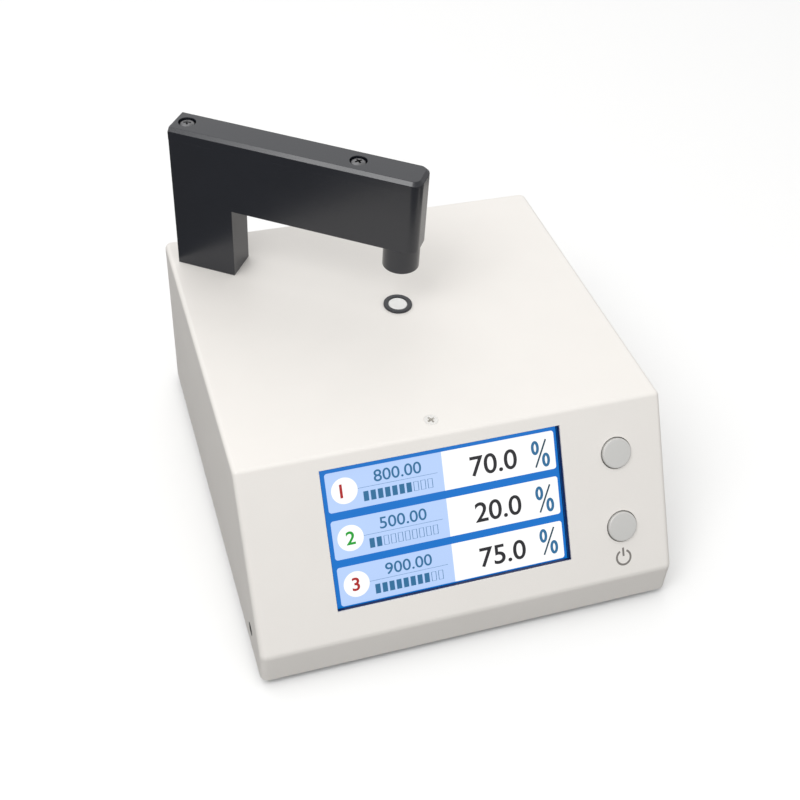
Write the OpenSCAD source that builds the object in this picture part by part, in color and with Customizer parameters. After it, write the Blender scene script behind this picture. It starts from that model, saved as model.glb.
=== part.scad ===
// Bench light transmittance meter: a wedge housing with a sloped display panel and two push buttons,
// and a fixed arm that holds a light tube over a receiver window in the top.
// Millimetres. The origin is on the table under the middle of the housing, and the front faces -Y.

/* [Housing] */
// Width of the housing, side to side
body_w = 170; // [168:1:200]
// Depth of the housing, front to back
body_d = 182; // [176:1:210]
// Height of the housing above its lower rim
body_h = 75; // [74:0.5:84]
// Height of the upright lip below the sloped panel
lip_h = 13.8; // [12:0.2:14]
// How far the sloped panel leans back from the lip to the bend
slope_run = 38.8; // [36:0.2:42]
// Wall of the cover
wall = 2; // [1.6:0.1:2.4]
// Radius of the upright corners and of the lip edge
corner_r = 3; // [2.5:0.1:4]
// Radius of the edges round the top and the panel
edge_r = 2; // [1.5:0.1:2.4]

/* [Base] */
// Thickness of the base sheet
tray_t = 1.5; // [1.2:0.1:2]
// How far the base sits up inside the rim
tray_recess = 0.8; // [0.4:0.1:1.5]
// Height of the base's upturned flanges
flange_h = 16; // [13:0.5:20]
// Gap between the flanges and the cover
tray_clear = 0.3; // [0.2:0.05:0.5]
// Height of the feet below the housing's rim
foot_h = 3; // [2.5:0.1:6]
// Diameter of a foot
foot_d = 13; // [11:0.5:18]
// Distance of a foot's centre from the housing's sides
foot_inset = 18; // [15:0.5:24]
// Diameter of the pillar under the top screw
pillar_d = 6; // [5.5:0.1:6.4]
// Sideways place of the top screw
pillar_x = -7.3; // [-12:0.1:-3]
// Distance of the top screw behind the bend
pillar_back = 8; // [7.8:0.1:10]

/* [Screws] */
// Diameter of the small machine screws
screw_d = 3; // [2.5:0.1:3.4]
// Head diameter of the countersunk screws
flat_head_d = 5.6; // [5.4:0.1:6.2]
// Head diameter of the pan screws
pan_head_d = 5.6; // [5.4:0.1:6.2]
// Head height of the pan screws
pan_head_h = 2; // [1.6:0.1:2.4]
// Distance of a side screw from the front
side_screw_y = 18; // [15:0.5:24]
// Height of the side and rear screws above the rim
side_screw_z = 9.6; // [8:0.2:11]
// Distance of the rear screws from the housing's sides
rear_screw_in = 25; // [20:0.5:28]

/* [Display] */
// Distance of the window from the housing's left side
window_left = 31.5; // [26:0.5:40]
// Distance of the window from the housing's right side
window_right = 43.5; // [42:0.5:52]
// Distance of the window up the panel from the lip edge
window_low = 12.4; // [11:0.1:16]
// Distance of the window from the bend at the top of the panel
window_high = 5.9; // [5.6:0.1:9]
// Rim of the display module beside the window
lcd_side = 5.25; // [4:0.05:5.5]
// Rim of the display module below and above the window
lcd_rim = 3; // [2.4:0.1:3.2]
// Thickness of the display module
lcd_t = 3.8; // [3:0.1:4.4]
// Thickness of the display glass
glass_t = 1.2; // [0.8:0.1:1.6]
// Thickness of the foam strip round the window
gasket_t = 0.8; // [0.5:0.1:1]
// Thickness of the bracket's sheet
bracket_t = 1.2; // [1:0.1:1.6]
// How far the bracket's ears stand out beside the display
bracket_ear = 7; // [6.2:0.1:7.4]

/* [Buttons] */
// Diameter of the holes for the buttons
button_hole_d = 13; // [12:0.1:13.4]
// Gap all round a button in its hole
button_gap = 0.35; // [0.25:0.05:0.5]
// Distance of the buttons from the housing's right side
button_in = 20.8; // [19.5:0.1:21.5]
// Distance of the power button up the panel from the lip edge
power_low = 21.4; // [19:0.1:23]
// Distance of the operation button from the bend at the top of the panel
operation_high = 20.8; // [18:0.1:23]
// How far a button stands out of the panel
button_proud = 1.2; // [0.8:0.1:1.6]
// Travel of a button
button_travel = 1; // [0.6:0.1:1.2]
// Thickness of the flange that keeps a button in
button_flange_t = 1; // [0.8:0.1:1.4]
// How far that flange reaches past the hole
button_flange = 1.3; // [0.8:0.1:1.5]

/* [Arm] */
// Angle between the arm and the housing's width
arm_angle = 35.8; // [33:0.1:37]
// Distance of the leg's front corner from the housing's left side
arm_left = 3.7; // [3.5:0.1:7]
// Distance of that corner from the housing's rear
arm_back = 16; // [15.5:0.5:22]
// Length of the arm
arm_l = 104; // [98:0.5:108]
// Thickness of the arm
arm_t = 15; // [14:0.1:15]
// Height of the arm above the housing
arm_h = 65; // [61:0.5:72]
// Width of the leg
leg_w = 25.5; // [25:0.1:30]
// Height of the beam's underside above the housing
beam_z = 33; // [30:0.5:36]
// Radius of the upright edges at the free end
arm_end_r = 3; // [2:0.1:4]
// Bevel along the arm's upper edges
arm_bevel = 1.5; // [1:0.1:2]
// Thickness of the lid on the arm
lid_t = 5; // [4.4:0.1:6]
// Distance of the first lid screw from the leg's end
lid_screw_a = 5; // [4.6:0.1:5.2]
// Distance of the second lid screw from the leg's end
lid_screw_b = 77; // [70:0.5:80]
// Diameter of the counterbores in the lid
counterbore_d = 7; // [6.6:0.1:7.6]
// Depth of the counterbores in the lid
counterbore_h = 2.6; // [2.2:0.1:2.8]
// Width of the wire channel milled into the arm
channel_w = 9; // [7:0.1:9.4]
// Depth of the wire channel under the lid
channel_h = 12; // [8:0.5:13]

/* [Light head] */
// Height of the gap between the light tube and the housing
sample_gap = 22; // [18:0.5:26]
// Bore of the light tube
light_bore = 8; // [6:0.1:8.2]
// Diameter of the tube's upper end, set into the arm
spigot_d = 12; // [11:0.1:12.2]
// Length of that upper end
spigot_l = 8; // [6:0.5:9]
// Thickness of the lens
lens_t = 1.8; // [1.2:0.1:2.4]
// Diameter of the lens
lens_d = 11; // [10:0.1:12]

/* [Receiver] */
// Outer diameter of the receiver's rim
rim_d = 12; // [11.8:0.1:13]
// Height of the rim above the housing
rim_h = 0.8; // [0.5:0.1:1.2]
// Diameter of the receiver tube under the rim
receiver_d = 10.5; // [10:0.1:10.8]
// Length of the receiver tube
receiver_l = 18; // [14:0.5:24]
// Bore of the receiver tube
receiver_bore = 6; // [5.4:0.1:6.6]
// Diameter of the opal disc
diffuser_d = 8; // [7.4:0.1:8.4]
// Thickness of the opal disc
diffuser_t = 1.6; // [1:0.1:2]

/* [Boards] */
// Distance of the main board from the housing's left side
board_left = 67; // [60:1:70]
// Distance of the main board from the housing's right side
board_right = 11; // [8:0.5:14]
// Distance of the main board from the housing's front
board_front_in = 94.8; // [90:0.2:100]
// Thickness of the boards
board_t = 1.6; // [1:0.1:2]
// Height of the pillars under the main board
board_lift = 8; // [5:0.5:10]
// Gap between the main board and the nuts of the rear screws
board_rear = 1; // [0.6:0.1:3]

/* [Hidden] */

$fn = 64;

// Gap all round a screw in its thread, and a part in its seat
thread_fit = 0.05;
seat_fit = 0.1;
// Gap all round a screw in a plain hole
hole_fit = 0.2;
// Running gap all round a plunger in its switch
run_fit = 0.07;
// How far a cutting shape reaches past the face that it cuts
over = 1;

// Levels and faces of the housing
rim_z = foot_h;
top_z = foot_h + body_h;
lip_z = foot_h + lip_h;
front_y = -body_d / 2;
back_y = body_d / 2;
tray_z = foot_h + tray_recess;
floor_z = tray_z + tray_t;

// Pressed nuts on the base, and how far inside the cover the side and rear ones end
nut_d = 6.4;
nut_h = 2.4;
nut_end = wall + tray_clear + tray_t + nut_h;

// The sloped panel
slope_rise = body_h - lip_h;
slope_a = atan2(slope_rise, slope_run);
slope_l = norm([slope_run, slope_rise]);
bend_y = front_y + slope_run;

// Places along the panel's inward normal, zero on its outer face
glass_n = -wall - gasket_t;
lcd_back_n = glass_n - lcd_t;
bracket_n = lcd_back_n - bracket_t;
flange_gap = 0.3;
flange_n = -wall - flange_gap;
stem_l = 2.8;
stem_d = 4;
stem_n = flange_n - button_flange_t - stem_l;
switch_n = stem_n - button_travel - flange_gap;
switch_h = 5;
switch_w = 12;
button_board_n = switch_n - switch_h;
plunger_d = 3.5;
plunger_in = 3;

// The buttons' places on the panel
button_x = body_w / 2 - button_in;
power_s = power_low;
operation_s = slope_l - operation_high;
buttons_s = (power_s + operation_s) / 2;

// The window and the display module behind it
window_w = body_w - window_left - window_right;
window_h = slope_l - window_low - window_high;
window_x = (window_left - window_right) / 2;
window_s = window_low + window_h / 2;
lcd_w = window_w + 2 * lcd_side;
lcd_h = window_h + 2 * lcd_rim;
lcd_skin = 1;
glass_w = lcd_w - 2 * lcd_skin;
glass_h = lcd_h - 2 * lcd_skin;
ear_x = bracket_ear / 2;
ear_s = 0.37 * window_h;

// The arm
arm_x = arm_left - body_w / 2;
arm_y = back_y - arm_back;
nozzle_s = arm_l - arm_t / 2;
arm_mid = arm_t / 2;
seat_z = arm_h - lid_t;
light_step = 2;
light_z = beam_z + spigot_l + light_step;
channel_z = seat_z - channel_h;
arm_screw_d = 4;
arm_screw_head = 7;
arm_screw_head_h = 2.6;
arm_screw_pitch = 16.4;
arm_screw_in = 10;
plate_t = 2;
wire_bore = 6;
lead_d = 1.6;
lead_v = arm_mid + channel_w / 2 - lead_d / 2 - hole_fit;

// The main board
board_z = floor_z + board_lift;
board_top = board_z + board_t;
board_w = body_w - board_left - board_right;
board_x = (board_left - board_right) / 2;
board_front = front_y + board_front_in;
board_d = back_y - nut_end - board_rear - board_front;
board_y = board_front + board_d / 2;
board_corner = 4.5;
// Solid end of the pillars under it
pillar_end = 1;

// The round socket for the supply, on the board's rear edge behind a hole in the cover
socket_in = 40;
socket_x = body_w / 2 - socket_in;
socket_w = 9;
socket_h = 11;
socket_l = 13;
socket_back = 2;
socket_bore = 6.3;
socket_pin = 2;
socket_z = board_top + socket_h - socket_w / 2;
socket_hole = 9.4;

// The flat cables and their sockets on the main board
ribbon_x = window_x + 26;
ribbon_s = window_low + window_h / 3;
ribbon_w = 16;
button_ribbon_w = 8;
button_ribbon_x = button_x - 0.75 * button_ribbon_w;
ribbon_t = 0.5;
socket_row_h = 4;
socket_row_l = 5;
socket_row_y = board_front + 3.5;

// Where the light tube looks, and the way of the arm's lead inside the housing
receiver_x = arm_at([nozzle_s, arm_mid, 0])[0];
receiver_y = arm_at([nozzle_s, arm_mid, 0])[1];
plug_w = 6;
plug_l = 8;
arm_turn = arm_at([leg_w / 2, arm_mid, board_top + plug_w / 2 - top_z]);
plug_in = 10;
arm_plug = [board_x - board_w / 2 + plug_in, arm_turn[1], board_top + plug_w / 2];
light_board_d = 11;
lens_in = 0.3;
lid_thread = 8;
foot_sink = pan_head_h + 0.4;
diffuser_z = rim_h - diffuser_t - 0.2;
receiver_nut_w = 16;
receiver_nut_h = 3;

// Small screws of the bracket and the boards, and the bosses that take them
small_d = 2.5;
small_head = 4.5;
small_head_h = 1.7;
boss_d = 5.4;
button_boss_pitch = 15;
// How far a screw stops short of the end of its hole
screw_end = 0.4;
// Lengths of the top screw and of the screw below its pillar
top_screw_l = 10;
pillar_screw_l = 8;
// The cross recess of a screw
cross_w = 0.8;
cross_share = 0.56;

// The screws' places
pillar_y = bend_y + pillar_back;
side_y = front_y + side_screw_y;
side_z = rim_z + side_screw_z;

// Outline of the housing seen from the side, drawn in by t, as [y, z] from the front rim round
function outline(t, low) = [
    [front_y + t, low],
    [front_y + t, lip_z - t * (1 - sin(slope_a)) / cos(slope_a)],
    [bend_y + t * (1 - cos(slope_a)) / sin(slope_a), top_z - t],
    [back_y - t, top_z - t],
    [back_y - t, low]];

// A place on the panel as [y, z]: s up the slope, n out of it
function panel_at(s, n) = [
    front_y + s * cos(slope_a) - n * sin(slope_a),
    lip_z + s * sin(slope_a) + n * cos(slope_a)];

// Both sides of a strip t thick that follows the points p
function unit(v) = v / norm(v);
function side_of(a, b) = let (d = unit(b - a)) [-d[1], d[0]];
function mitre(p, i) =
    i == 0 ? side_of(p[0], p[1]) :
    i == len(p) - 1 ? side_of(p[i - 1], p[i]) :
    let (a = side_of(p[i - 1], p[i]), b = side_of(p[i], p[i + 1])) (a + b) / (1 + a * b);
function strip(p, t) = concat(
    [for (i = [0 : len(p) - 1]) p[i] + mitre(p, i) * t / 2],
    [for (i = [len(p) - 1 : -1 : 0]) p[i] - mitre(p, i) * t / 2]);

module across(w) {
    rotate([90, 0, 90])
        linear_extrude(w, center = true)
            children();
}

module on_panel(x, s, n = 0) {
    translate([0, front_y, lip_z])
        rotate([slope_a, 0, 0])
            translate([x, s, n])
                children();
}

module on_arm(s, v, z = 0) {
    translate([arm_x, arm_y, top_z])
        rotate([0, 0, -arm_angle])
            translate([s, v, z])
                children();
}

// The points p with each inner corner rounded off over the length r on both sides of it
function eased(p, r) = concat([p[0]],
    [for (i = [1 : len(p) - 2])
        let (back = p[i] + r * unit(p[i - 1] - p[i]), on = p[i] + r * unit(p[i + 1] - p[i]))
        for (k = [0 : 0.25 : 1])
            (1 - k) * (1 - k) * back + 2 * k * (1 - k) * p[i] + k * k * on],
    [p[len(p) - 1]]);

// The way along the points p at point i, and a side direction carried along without twist
function heading(p, i) = unit((i == 0 ? [0, 0, 0] : unit(p[i] - p[i - 1]))
    + (i == len(p) - 1 ? [0, 0, 0] : unit(p[i + 1] - p[i])));
function carried(p, side, i = 0) = i == len(p) ? [] :
    let (t = heading(p, i), n = unit(side - (side * t) * t))
    concat([n], carried(p, n, i + 1));

// A round lead through the points p
module lead(p, d, side) {
    sides = 8;
    n = carried(p, side);
    rings = len(p);
    points = [for (i = [0 : rings - 1]) let (t = heading(p, i), m = cross(t, n[i]))
        for (k = [0 : sides - 1]) p[i] + d / 2 * (cos(k * 360 / sides) * n[i]
            + sin(k * 360 / sides) * m)];
    skin = [for (i = [0 : rings - 2]) for (k = [0 : sides - 1])
        let (a = i * sides + k, b = i * sides + (k + 1) % sides)
        for (f = [[a, a + sides, b], [b, a + sides, b + sides]]) f];
    first = [for (k = [0 : sides - 1]) k];
    last = [for (k = [sides - 1 : -1 : 0]) (rings - 1) * sides + k];
    polyhedron(points, concat(skin, [first], [last]));
}

// The cross in a screw's head, cut down from the head's top at zero
module cross_recess(head, depth) {
    for (turn = [0, 90])
        rotate(turn)
            translate([0, 0, (over - depth) / 2])
                cube([head * cross_share, cross_w, depth + over], center = true);
}

// A pan screw that seats at zero, with its shank below
module pan_screw(d, l, head, head_h) {
    edge = head_h * 0.4;
    dome = head_h - edge;
    difference() {
        union() {
            rotate_extrude()
                polygon(concat([[0, 0], [head / 2, 0]],
                    [for (a = [0 : 15 : 90]) [head / 2 * cos(a), edge + dome * sin(a)]]));
            translate([0, 0, -l])
                cylinder(d = d, h = l + head_h / 4, $fn = 32);
        }
        translate([0, 0, head_h])
            cross_recess(head, head_h * 0.7);
    }
}

// A countersunk screw whose flat head ends at zero
module flat_screw(l) {
    cone_h = (flat_head_d - screw_d) / 2;
    difference() {
        union() {
            translate([0, 0, -cone_h])
                cylinder(d1 = screw_d, d2 = flat_head_d, h = cone_h, $fn = 48);
            translate([0, 0, -l])
                cylinder(d = screw_d, h = l - cone_h / 2, $fn = 32);
        }
        cross_recess(flat_head_d, cone_h);
    }
}

// The hole that takes it
module flat_sink() {
    cone_h = (flat_head_d - screw_d) / 2;
    grow = 2 * thread_fit;
    translate([0, 0, -cone_h])
        cylinder(d1 = screw_d + grow, d2 = flat_head_d + grow, h = cone_h, $fn = 48);
    cylinder(d = flat_head_d + grow, h = over, $fn = 48);
    translate([0, 0, -wall - over])
        cylinder(d = screw_d + 2 * hole_fit, h = wall + 2 * over, $fn = 32);
}

module side_places() {
    for (side = [-1, 1])
        translate([side * body_w / 2, side_y, side_z])
            rotate([0, side * 90, 0])
                children();
}

module rear_places() {
    for (side = [-1, 1])
        translate([side * (body_w / 2 - rear_screw_in), back_y, side_z])
            rotate([-90, 0, 0])
                children();
}

module foot_at(side, end) {
    translate([side * (body_w / 2 - foot_inset), end * (body_d / 2 - foot_inset), 0])
        children();
}

module foot_places() {
    for (side = [-1, 1])
        for (end = [-1, 1])
            foot_at(side, end)
                children();
}

module bracket_places() {
    for (side = [-1, 1])
        for (up = [-1, 1])
            on_panel(window_x + side * (lcd_w / 2 + ear_x), window_s + up * ear_s)
                children();
}

module button_board_places() {
    for (side = [-1, 1])
        on_panel(button_x + side * button_boss_pitch / 2, buttons_s)
            children();
}

module arm_screw_places() {
    for (side = [-1, 1])
        on_arm(leg_w / 2 + side * arm_screw_pitch / 2, arm_mid)
            children();
}

module board_corners() {
    for (side = [-1, 1])
        for (end = [-1, 1])
            translate([board_x + side * (board_w / 2 - board_corner),
                board_y + end * (board_d / 2 - board_corner), 0])
                children();
}

// Housing

module rounded_body() {
    r = corner_r;
    corner_x = body_w / 2 - r;
    side_x = body_w / 2 - edge_r;
    lip = outline(r, 0)[1];
    bend = outline(edge_r, 0)[2];
    hull() {
        for (side = [-1, 1]) {
            for (end = [-1, 1])
                translate([side * corner_x, end * (body_d / 2 - r), rim_z])
                    cylinder(r = r, h = 1, $fn = 32);
            translate([side * corner_x, lip[0], lip[1]])
                sphere(r = r, $fn = 32);
            translate([side * side_x, bend[0], bend[1]])
                sphere(r = edge_r, $fn = 32);
            translate([side * corner_x, back_y - r, top_z - edge_r])
                rotate_extrude($fn = 32)
                    intersection() {
                        translate([r - edge_r, 0])
                            circle(edge_r, $fn = 32);
                        translate([0, -edge_r])
                            square(2 * r);
                    }
        }
    }
}

module upper_cover() {
    color("ivory")
    difference() {
        union() {
            difference() {
                rounded_body();
                across(body_w - 2 * wall)
                    polygon(outline(wall, rim_z - over));
            }
            bracket_places()
                translate([0, 0, lcd_back_n])
                    cylinder(d = boss_d, h = -lcd_back_n - wall / 2, $fn = 32);
            button_board_places()
                translate([0, 0, button_board_n])
                    cylinder(d = boss_d, h = -button_board_n - wall / 2, $fn = 32);
        }
        on_panel(window_x, window_s)
            cube([window_w, window_h, 3 * wall], center = true);
        for (s = [power_s, operation_s])
            on_panel(button_x, s)
                cylinder(d = button_hole_d, h = 3 * wall, center = true);
        bracket_places()
            translate([0, 0, lcd_back_n - over])
                cylinder(d = small_d + 2 * thread_fit, h = lcd_t + over, $fn = 32);
        button_board_places()
            translate([0, 0, button_board_n - over])
                cylinder(d = small_d + 2 * thread_fit, h = switch_h + over, $fn = 32);
        on_arm(nozzle_s, arm_mid)
            cylinder(d = receiver_d + 2 * thread_fit, h = 3 * wall, center = true);
        on_arm(leg_w / 2, arm_mid)
            cylinder(d = wire_bore, h = 3 * wall, center = true);
        arm_screw_places()
            cylinder(d = arm_screw_d + 2 * hole_fit, h = 3 * wall, center = true);
        translate([pillar_x, pillar_y, top_z])
            flat_sink();
        side_places()
            flat_sink();
        rear_places()
            flat_sink();
        translate([socket_x, back_y, socket_z])
            rotate([90, 0, 0])
                cylinder(d = socket_hole, h = 3 * wall, center = true);
    }
}

// A pressed nut on a flange of the base, and the screw hole through both
module flange_nut() {
    translate([0, 0, -nut_end])
        cylinder(d = nut_d, h = nut_h + tray_t / 2, $fn = 32);
}

module flange_hole() {
    translate([0, 0, -nut_end - over])
        cylinder(d = screw_d + 2 * thread_fit, h = nut_end + over, $fn = 32);
}

module base_tray() {
    tray_w = body_w - 2 * (wall + tray_clear);
    tray_d = body_d - 2 * (wall + tray_clear);
    side_flange = foot_h + flange_h - tray_z;
    relief = 6;
    front_flange = lip_z - tray_z - 2 * wall;
    color("silver")
    difference() {
        union() {
            translate([-tray_w / 2, -tray_d / 2, tray_z])
                cube([tray_w, tray_d, tray_t]);
            for (side = [-1, 1])
                translate([side * (tray_w - tray_t) / 2, 0, tray_z + side_flange / 2])
                    cube([tray_t, tray_d - 2 * relief, side_flange], center = true);
            translate([-tray_w / 2 + relief, tray_d / 2 - tray_t, tray_z])
                cube([tray_w - 2 * relief, tray_t, side_flange]);
            translate([-tray_w / 2 + relief, -tray_d / 2, tray_z])
                cube([tray_w - 2 * relief, tray_t, front_flange]);
            side_places()
                flange_nut();
            rear_places()
                flange_nut();
            foot_places()
                translate([0, 0, floor_z - tray_t / 2])
                    cylinder(d = nut_d, h = nut_h + tray_t / 2, $fn = 32);
        }
        side_places()
            flange_hole();
        rear_places()
            flange_hole();
        foot_places()
            cylinder(d = screw_d + 2 * thread_fit, h = floor_z + nut_h + over, $fn = 32);
        translate([pillar_x, pillar_y, 0])
            cylinder(d = screw_d + 2 * hole_fit, h = floor_z + over, $fn = 32);
        translate([socket_x - socket_w, tray_d / 2 - tray_t - over, floor_z])
            cube([2 * socket_w, tray_t + 2 * over, side_flange]);
    }
}

// A rubber foot, recessed below for the head of its screw
module foot(side, end) {
    toe = 1.2;
    bore_d = pan_head_d + 1.2;
    color("dimgray")
    foot_at(side, end)
        difference() {
            rotate_extrude()
                polygon([[0, 0], [foot_d / 2 - toe, 0], [foot_d / 2 - toe / 2, toe / 4],
                    [foot_d / 2, tray_z], [0, tray_z]]);
            translate([0, 0, -over])
                cylinder(d = screw_d + 2 * hole_fit, h = tray_z + 2 * over, $fn = 32);
            translate([0, 0, -over])
                cylinder(d = bore_d, h = foot_sink + over, $fn = 48);
        }
}

module foot_screws() {
    color("gray")
    foot_places()
        translate([0, 0, foot_sink])
            rotate([180, 0, 0])
                pan_screw(screw_d, floor_z + nut_h - foot_sink, pan_head_d, pan_head_h);
}

module side_screws() {
    color("black")
    side_places()
        flat_screw(nut_end);
}

module rear_screws() {
    color("black")
    rear_places()
        flat_screw(nut_end);
}

module top_screw() {
    color("silver")
    translate([pillar_x, pillar_y, top_z])
        flat_screw(top_screw_l);
}

module cover_pillar() {
    pillar_h = top_z - wall - floor_z;
    thread_l = top_screw_l - wall + 2 * screw_end;
    color("silver")
    translate([pillar_x, pillar_y, floor_z])
        difference() {
            cylinder(d = pillar_d, h = pillar_h, $fn = 48);
            for (z = [-over, pillar_h - thread_l])
                translate([0, 0, z])
                    cylinder(d = screw_d + 2 * thread_fit, h = thread_l + over, $fn = 32);
        }
}

module pillar_screw() {
    color("silver")
    translate([pillar_x, pillar_y, tray_z])
        rotate([180, 0, 0])
            pan_screw(screw_d, pillar_screw_l, pan_head_d, pan_head_h);
}

// Display

module window_gasket() {
    color("black")
    on_panel(window_x, window_s, glass_n)
        difference() {
            translate([0, 0, gasket_t / 2])
                cube([glass_w, glass_h, gasket_t], center = true);
            translate([0, 0, gasket_t / 2])
                cube([window_w + 2 * hole_fit, window_h + 2 * hole_fit, gasket_t + over],
                    center = true);
        }
}

module lcd_glass() {
    color("dodgerblue")
    on_panel(window_x, window_s, glass_n - glass_t / 2)
        cube([glass_w, glass_h, glass_t], center = true);
}

module lcd_frame() {
    color("lightgray")
    on_panel(window_x, window_s)
        difference() {
            translate([-lcd_w / 2, -lcd_h / 2, lcd_back_n])
                cube([lcd_w, lcd_h, lcd_t]);
            translate([0, 0, glass_n - glass_t / 2 + over / 2])
                cube([glass_w + 2 * seat_fit, glass_h + 2 * seat_fit, glass_t + over],
                    center = true);
        }
}

module display_bracket() {
    band = 12;
    plate = [lcd_w + 2 * bracket_ear, lcd_h - 4 * lcd_skin];
    color("silver")
    difference() {
        on_panel(window_x, window_s, bracket_n + bracket_t / 2)
            difference() {
                cube([plate[0], plate[1], bracket_t], center = true);
                cube([lcd_w - 2 * band, plate[1] - 1.5 * band, bracket_t + over], center = true);
            }
        bracket_places()
            translate([0, 0, bracket_n - over])
                cylinder(d = small_d + 2 * hole_fit, h = bracket_t + 2 * over, $fn = 32);
    }
}

module bracket_screws() {
    color("gray")
    bracket_places()
        translate([0, 0, bracket_n])
            rotate([180, 0, 0])
                pan_screw(small_d, bracket_t + lcd_t - screw_end, small_head, small_head_h);
}

// A flat cable w wide from a place on the panel to its socket on the main board
module ribbon(x, w, start) {
    out = 4;
    end = [socket_row_y, board_top + socket_row_h / 2];
    clear = start + out * [sin(slope_a), -cos(slope_a)];
    color("tan")
    translate([x, 0, 0])
        across(w)
            polygon(strip([start, clear, clear + [out, -1.5 * out],
                end - [6 * out, -out], end - [1.5 * out, 0], end], ribbon_t));
}

module display_ribbon() {
    ribbon(ribbon_x, ribbon_w, panel_at(ribbon_s, lcd_back_n));
}

// Buttons

module cap(s) {
    r = button_hole_d / 2 - button_gap;
    edge = 0.9;
    dome = 0.25;
    color("lightgray")
    on_panel(button_x, s)
        rotate_extrude()
            polygon(concat(
                [[0, stem_n], [stem_d / 2, stem_n], [stem_d / 2, flange_n - button_flange_t],
                    [button_hole_d / 2 + button_flange, flange_n - button_flange_t],
                    [button_hole_d / 2 + button_flange, flange_n], [r, flange_n]],
                [for (a = [0 : 15 : 75])
                    [r - edge + edge * cos(a), button_proud - dome - edge + edge * sin(a)]],
                [[r - edge, button_proud - dome * 0.95], [r / 2, button_proud - dome * 0.25],
                    [0, button_proud]]));
}

module plunger(s) {
    color("white")
    on_panel(button_x, s, switch_n - plunger_in)
        cylinder(d = plunger_d, h = stem_n - switch_n + plunger_in, $fn = 32);
}

module switch_body(s) {
    depth = plunger_in + button_travel + flange_gap;
    color("black")
    on_panel(button_x, s, button_board_n)
        difference() {
            translate([-switch_w / 2, -switch_w / 2, 0])
                cube([switch_w, switch_w, switch_h]);
            translate([0, 0, switch_h - depth])
                cylinder(d = plunger_d + 2 * run_fit, h = depth + over, $fn = 32);
        }
}

module operation_cap() { cap(operation_s); }
module operation_plunger() { plunger(operation_s); }
module operation_switch() { switch_body(operation_s); }
module power_cap() { cap(power_s); }
module power_plunger() { plunger(power_s); }
module power_switch() { switch_body(power_s); }

module button_board() {
    margin = 5;
    board = [switch_w + 2 * margin, operation_s - power_s + switch_w + 2 * margin, board_t];
    color("darkgreen")
    difference() {
        on_panel(button_x, buttons_s, button_board_n - board_t / 2)
            cube(board, center = true);
        button_board_places()
            translate([0, 0, button_board_n - board_t - over])
                cylinder(d = small_d + 2 * hole_fit, h = board_t + 2 * over, $fn = 32);
    }
}

module button_board_screws() {
    color("gray")
    button_board_places()
        translate([0, 0, button_board_n - board_t])
            rotate([180, 0, 0])
                pan_screw(small_d, board_t + switch_h - screw_end, small_head, small_head_h);
}

module button_ribbon() {
    ribbon(button_ribbon_x, button_ribbon_w, panel_at(buttons_s, button_board_n - board_t));
}

// Boards

module main_board() {
    color("darkgreen")
    difference() {
        translate([board_x - board_w / 2, board_front, board_z])
            cube([board_w, board_d, board_t]);
        board_corners()
            cylinder(d = small_d + 2 * hole_fit, h = board_top + over, $fn = 32);
    }
}

// The controller, two smaller chips, three capacitors and the supply's block, each at a share
// of the board's width and depth from its middle
module board_chips() {
    controller = 14;
    chip_t = 1.8;
    can_d = 8;
    can_h = 11;
    color("black")
    translate([board_x, board_y, board_top]) {
        for (chip = [[-0.08, -0.14, 1, 1], [0.18, -0.14, 0.7, 0.45], [0.17, 0.06, 0.6, 0.6]])
            translate([chip[0] * board_w, chip[1] * board_d, chip_t / 2])
                cube([chip[2] * controller, chip[3] * controller, chip_t], center = true);
        for (x = [-0.24, -0.12, 0])
            translate([x * board_w, board_d / 4, 0])
                cylinder(d = can_d, h = can_h, $fn = 32);
        translate([0.37 * board_w, 0.2 * board_d, can_d / 2])
            cube([1.5 * can_d, 1.2 * can_d, can_d], center = true);
    }
}

module board_sockets() {
    lip = 1.5;
    color("white") {
        for (at = [[ribbon_x, ribbon_w], [button_ribbon_x, button_ribbon_w]])
            translate([at[0] - at[1] / 2 - lip, socket_row_y, board_top])
                cube([at[1] + 2 * lip, socket_row_l, socket_row_h]);
        translate([arm_plug[0], arm_plug[1] - plug_l / 2, board_top])
            cube([plug_w, plug_l, plug_w]);
        translate([receiver_x - plug_l / 2, receiver_y - plug_w / 2, board_top])
            cube([plug_l, plug_w, plug_w]);
    }
}

module board_pillars() {
    color("silver")
    board_corners()
        translate([0, 0, floor_z])
            difference() {
                cylinder(d = pillar_d, h = board_lift, $fn = 32);
                translate([0, 0, pillar_end])
                    cylinder(d = small_d + 2 * thread_fit, h = board_lift, $fn = 32);
            }
}

module board_screws() {
    color("gray")
    board_corners()
        translate([0, 0, board_top])
            pan_screw(small_d, board_t + board_lift - pillar_end - screw_end, small_head,
                small_head_h);
}

// A block with a round bore and a pin in the middle of it
module power_socket() {
    depth = 9;
    pin_in = 0.5;
    front = back_y - wall - socket_back;
    color("black")
    difference() {
        translate([socket_x - socket_w / 2, front - socket_l, board_top])
            cube([socket_w, socket_l, socket_h]);
        translate([socket_x, front - depth, socket_z])
            rotate([-90, 0, 0])
                difference() {
                    cylinder(d = socket_bore, h = depth + over, $fn = 48);
                    translate([0, 0, -over])
                        cylinder(d = socket_pin, h = depth + over - pin_in, $fn = 32);
                }
    }
}

// Arm

// The arm seen from above, drawn in by inset along its edges
module arm_plan(inset = 0) {
    r = arm_end_r;
    translate([0, inset])
        square([arm_l - r, arm_t - 2 * inset]);
    translate([arm_l - r - over, r])
        square([r + over - inset, arm_t - 2 * r]);
    for (v = [r, arm_t - r])
        translate([arm_l - r, v])
            circle(r - inset, $fn = 64);
}

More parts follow.
